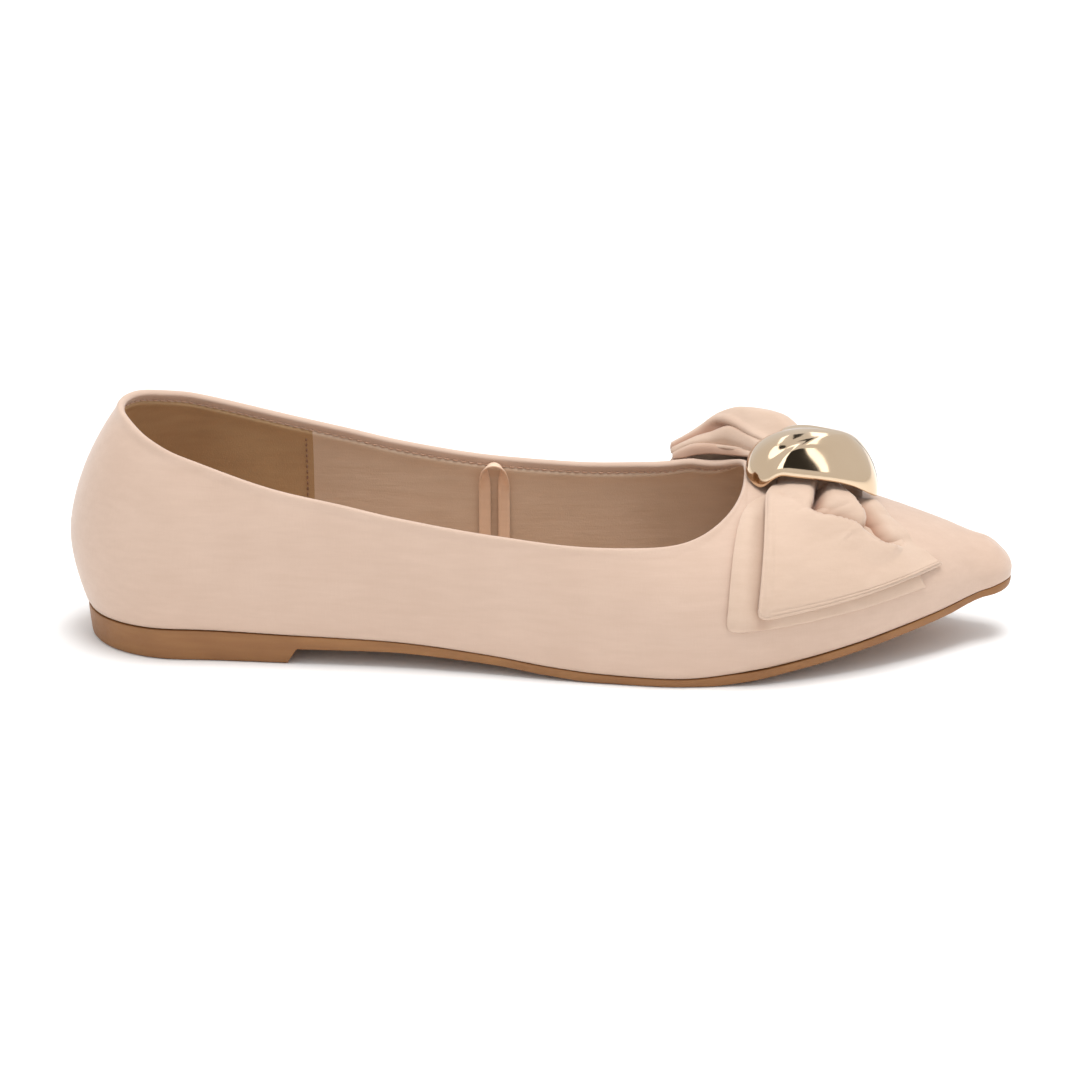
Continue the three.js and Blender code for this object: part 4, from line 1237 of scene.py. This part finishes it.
def dome_ring(share, inset):
    """One ring of the dome, from its top where share is 0 to its rim where share is 1."""
    spin = np.linspace(0, 2 * math.pi, DOME_AROUND + 1)
    x = (DOME_LENGTH / 2 - inset) * squared(np.cos(spin))
    y = (DOME_WIDTH / 2 - inset) * squared(np.sin(spin))
    side = np.where(y < 0, OUTER, INNER)
    at = DOME_CENTRE + x
    vamp = wall_at(at, side, rise_at_reach(at, side, np.abs(y + DOME_OFF_SPINE)))[1]
    ahead = x / (DOME_LENGTH / 2)
    risen = ease((ARCH_STARTS + ahead) / ARCH_RISES)
    opened = np.where(ahead < 0, risen, 1 - ARCH_FALLS * np.abs(ahead) ** 3)
    arch = np.where(side < 0, DOME_ARCH[OUTER], DOME_ARCH[INNER])
    rim = vamp + DOME_CLEAR + (arch + ARCH_GAIN * x) * opened
    wide = math.sin(share * math.pi / 2) ** (2 / DOME_FULL)
    down = 1 - max(0.0, math.cos(share * math.pi / 2)) ** (2 / DOME_FULL)
    top = DOME_TOP - inset - x * wide * math.sin(DOME_TILT)
    middle = float(spine_at(DOME_CENTRE)) + DOME_OFF_SPINE
    along = DOME_CENTRE + x * wide + DOME_TOP_AHEAD * (1 - wide)
    return np.stack((along, middle + y * wide, top + (rim - top) * down), -1)


shares = np.linspace(0, 1, DOME_RINGS)
outside = [dome_ring(share, 0.0) for share in shares]
hollow = [dome_ring(share, DOME_WALL) for share in shares[::-1]]
rolled = (outside[-1] + hollow[0]) / 2 - (0, 0, RIM_ROLL)
dome_rows = np.array(outside + [rolled] + hollow)
dome, corners, faces = grid_piece("gold_bean", DOME_AROUND, len(dome_rows) - 1)
set_points(dome, dome_rows[corners[1], corners[0]])
close_up(dome)
smooth_over(dome, 2)
gold, tree, shader = new_material("pale_gold", Metallic=1.0, Roughness=0.09)
spot = object_spot(tree)
drift = noise(tree, spot, 90.0, 2.0)
tone = mixed(tree, ranged(tree, drift, 0.3, 0.7, 0, 1), (0.7, 0.54, 0.38, 1), (0.67, 0.51, 0.35, 1))
tree.links.new(tone, shader.inputs["Base Color"])
dome.data.materials.append(gold)
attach(dome, "root")
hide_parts("gold_dome")

# Hanger loop: a narrow woven tape, caught at the insole inside the inner wall and folded over at its top,
# where it turns edge on to the wall.
HANGER_AT = 117.0
HANGER_WIDE = 3.3
HANGER_THICK = 0.5
HANGER_SPREAD = 5.4
HANGER_TOP = 42.2
HANGER_CLEAR = 0.9
HANGER_STARTS = 0.3
HANGER_TURNS = 11
HANGER_STEPS = 90
half_spread = HANGER_SPREAD / 2
hanger_foot = float(seat_at(HANGER_AT - HANGER_SPREAD)) + INSOLE_THICK + HANGER_STARTS
straight = HANGER_TOP - half_spread - hanger_foot
tape_length = 2 * straight + math.pi * half_spread
# One long side of the tape's section, in shares of its half width and half thickness.
TAPE_EDGE = ((-1, -0.4), (-0.96, -1), (-0.6, -1), (0, -1), (0.6, -1), (0.96, -1), (1, -0.4))
tape_section = TAPE_EDGE + tuple((w, -t) for w, t in TAPE_EDGE[::-1])
tape_rows = []
for i in range(HANGER_STEPS + 1):
    s = tape_length * i / HANGER_STEPS
    bend = min(math.pi, max(0.0, (s - straight) / half_spread))
    past = max(0.0, s - straight - math.pi * half_spread)
    z = hanger_foot + s if s < straight else hanger_foot + straight + half_spread * math.sin(bend) - past
    at = HANGER_AT - half_spread * math.cos(bend)
    twist = math.pi / 2 * float(ease(1 - abs(s - tape_length / 2) / HANGER_TURNS))
    reach = wall_at(at, INNER, rise_at_height(at, INNER, z))[0] - WALL - HANGER_CLEAR
    outward = np.array((-math.cos(bend), 0, math.sin(bend)))
    inward = np.array((0.0, -1.0, 0.0))
    centre = place(np.float64(at), INNER, reach - HANGER_WIDE / 2 * math.sin(twist), z)
    wide = (outward * math.cos(twist) + inward * math.sin(twist)) * HANGER_WIDE / 2
    thin = (inward * math.cos(twist) - outward * math.sin(twist)) * HANGER_THICK / 2
    tape_rows.append([centre + wide * w + thin * t for w, t in tape_section + tape_section[:1]])
closed_ends = []
for section in (tape_rows[0], tape_rows[-1]):
    across = [(section[k] + section[len(tape_section) - 1 - k]) / 2 for k in range(len(tape_section))]
    closed_ends.append(across + across[:1])
tape_rows = np.array(closed_ends[:1] + tape_rows + closed_ends[1:])
hanger, corners, faces = grid_piece("hanger_tape", len(tape_rows) - 1, len(tape_section))
set_points(hanger, tape_rows[corners])
close_up(hanger)
woven_tape = cloth_material(
    "woven_tape", (0.84, 0.6, 0.43), (0.74, 0.5, 0.34), 1500.0, 0.0001, Sheen_Weight=0.2
)
hanger.data.materials.append(woven_tape)
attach(hanger, "root")
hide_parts("hanger_loop")
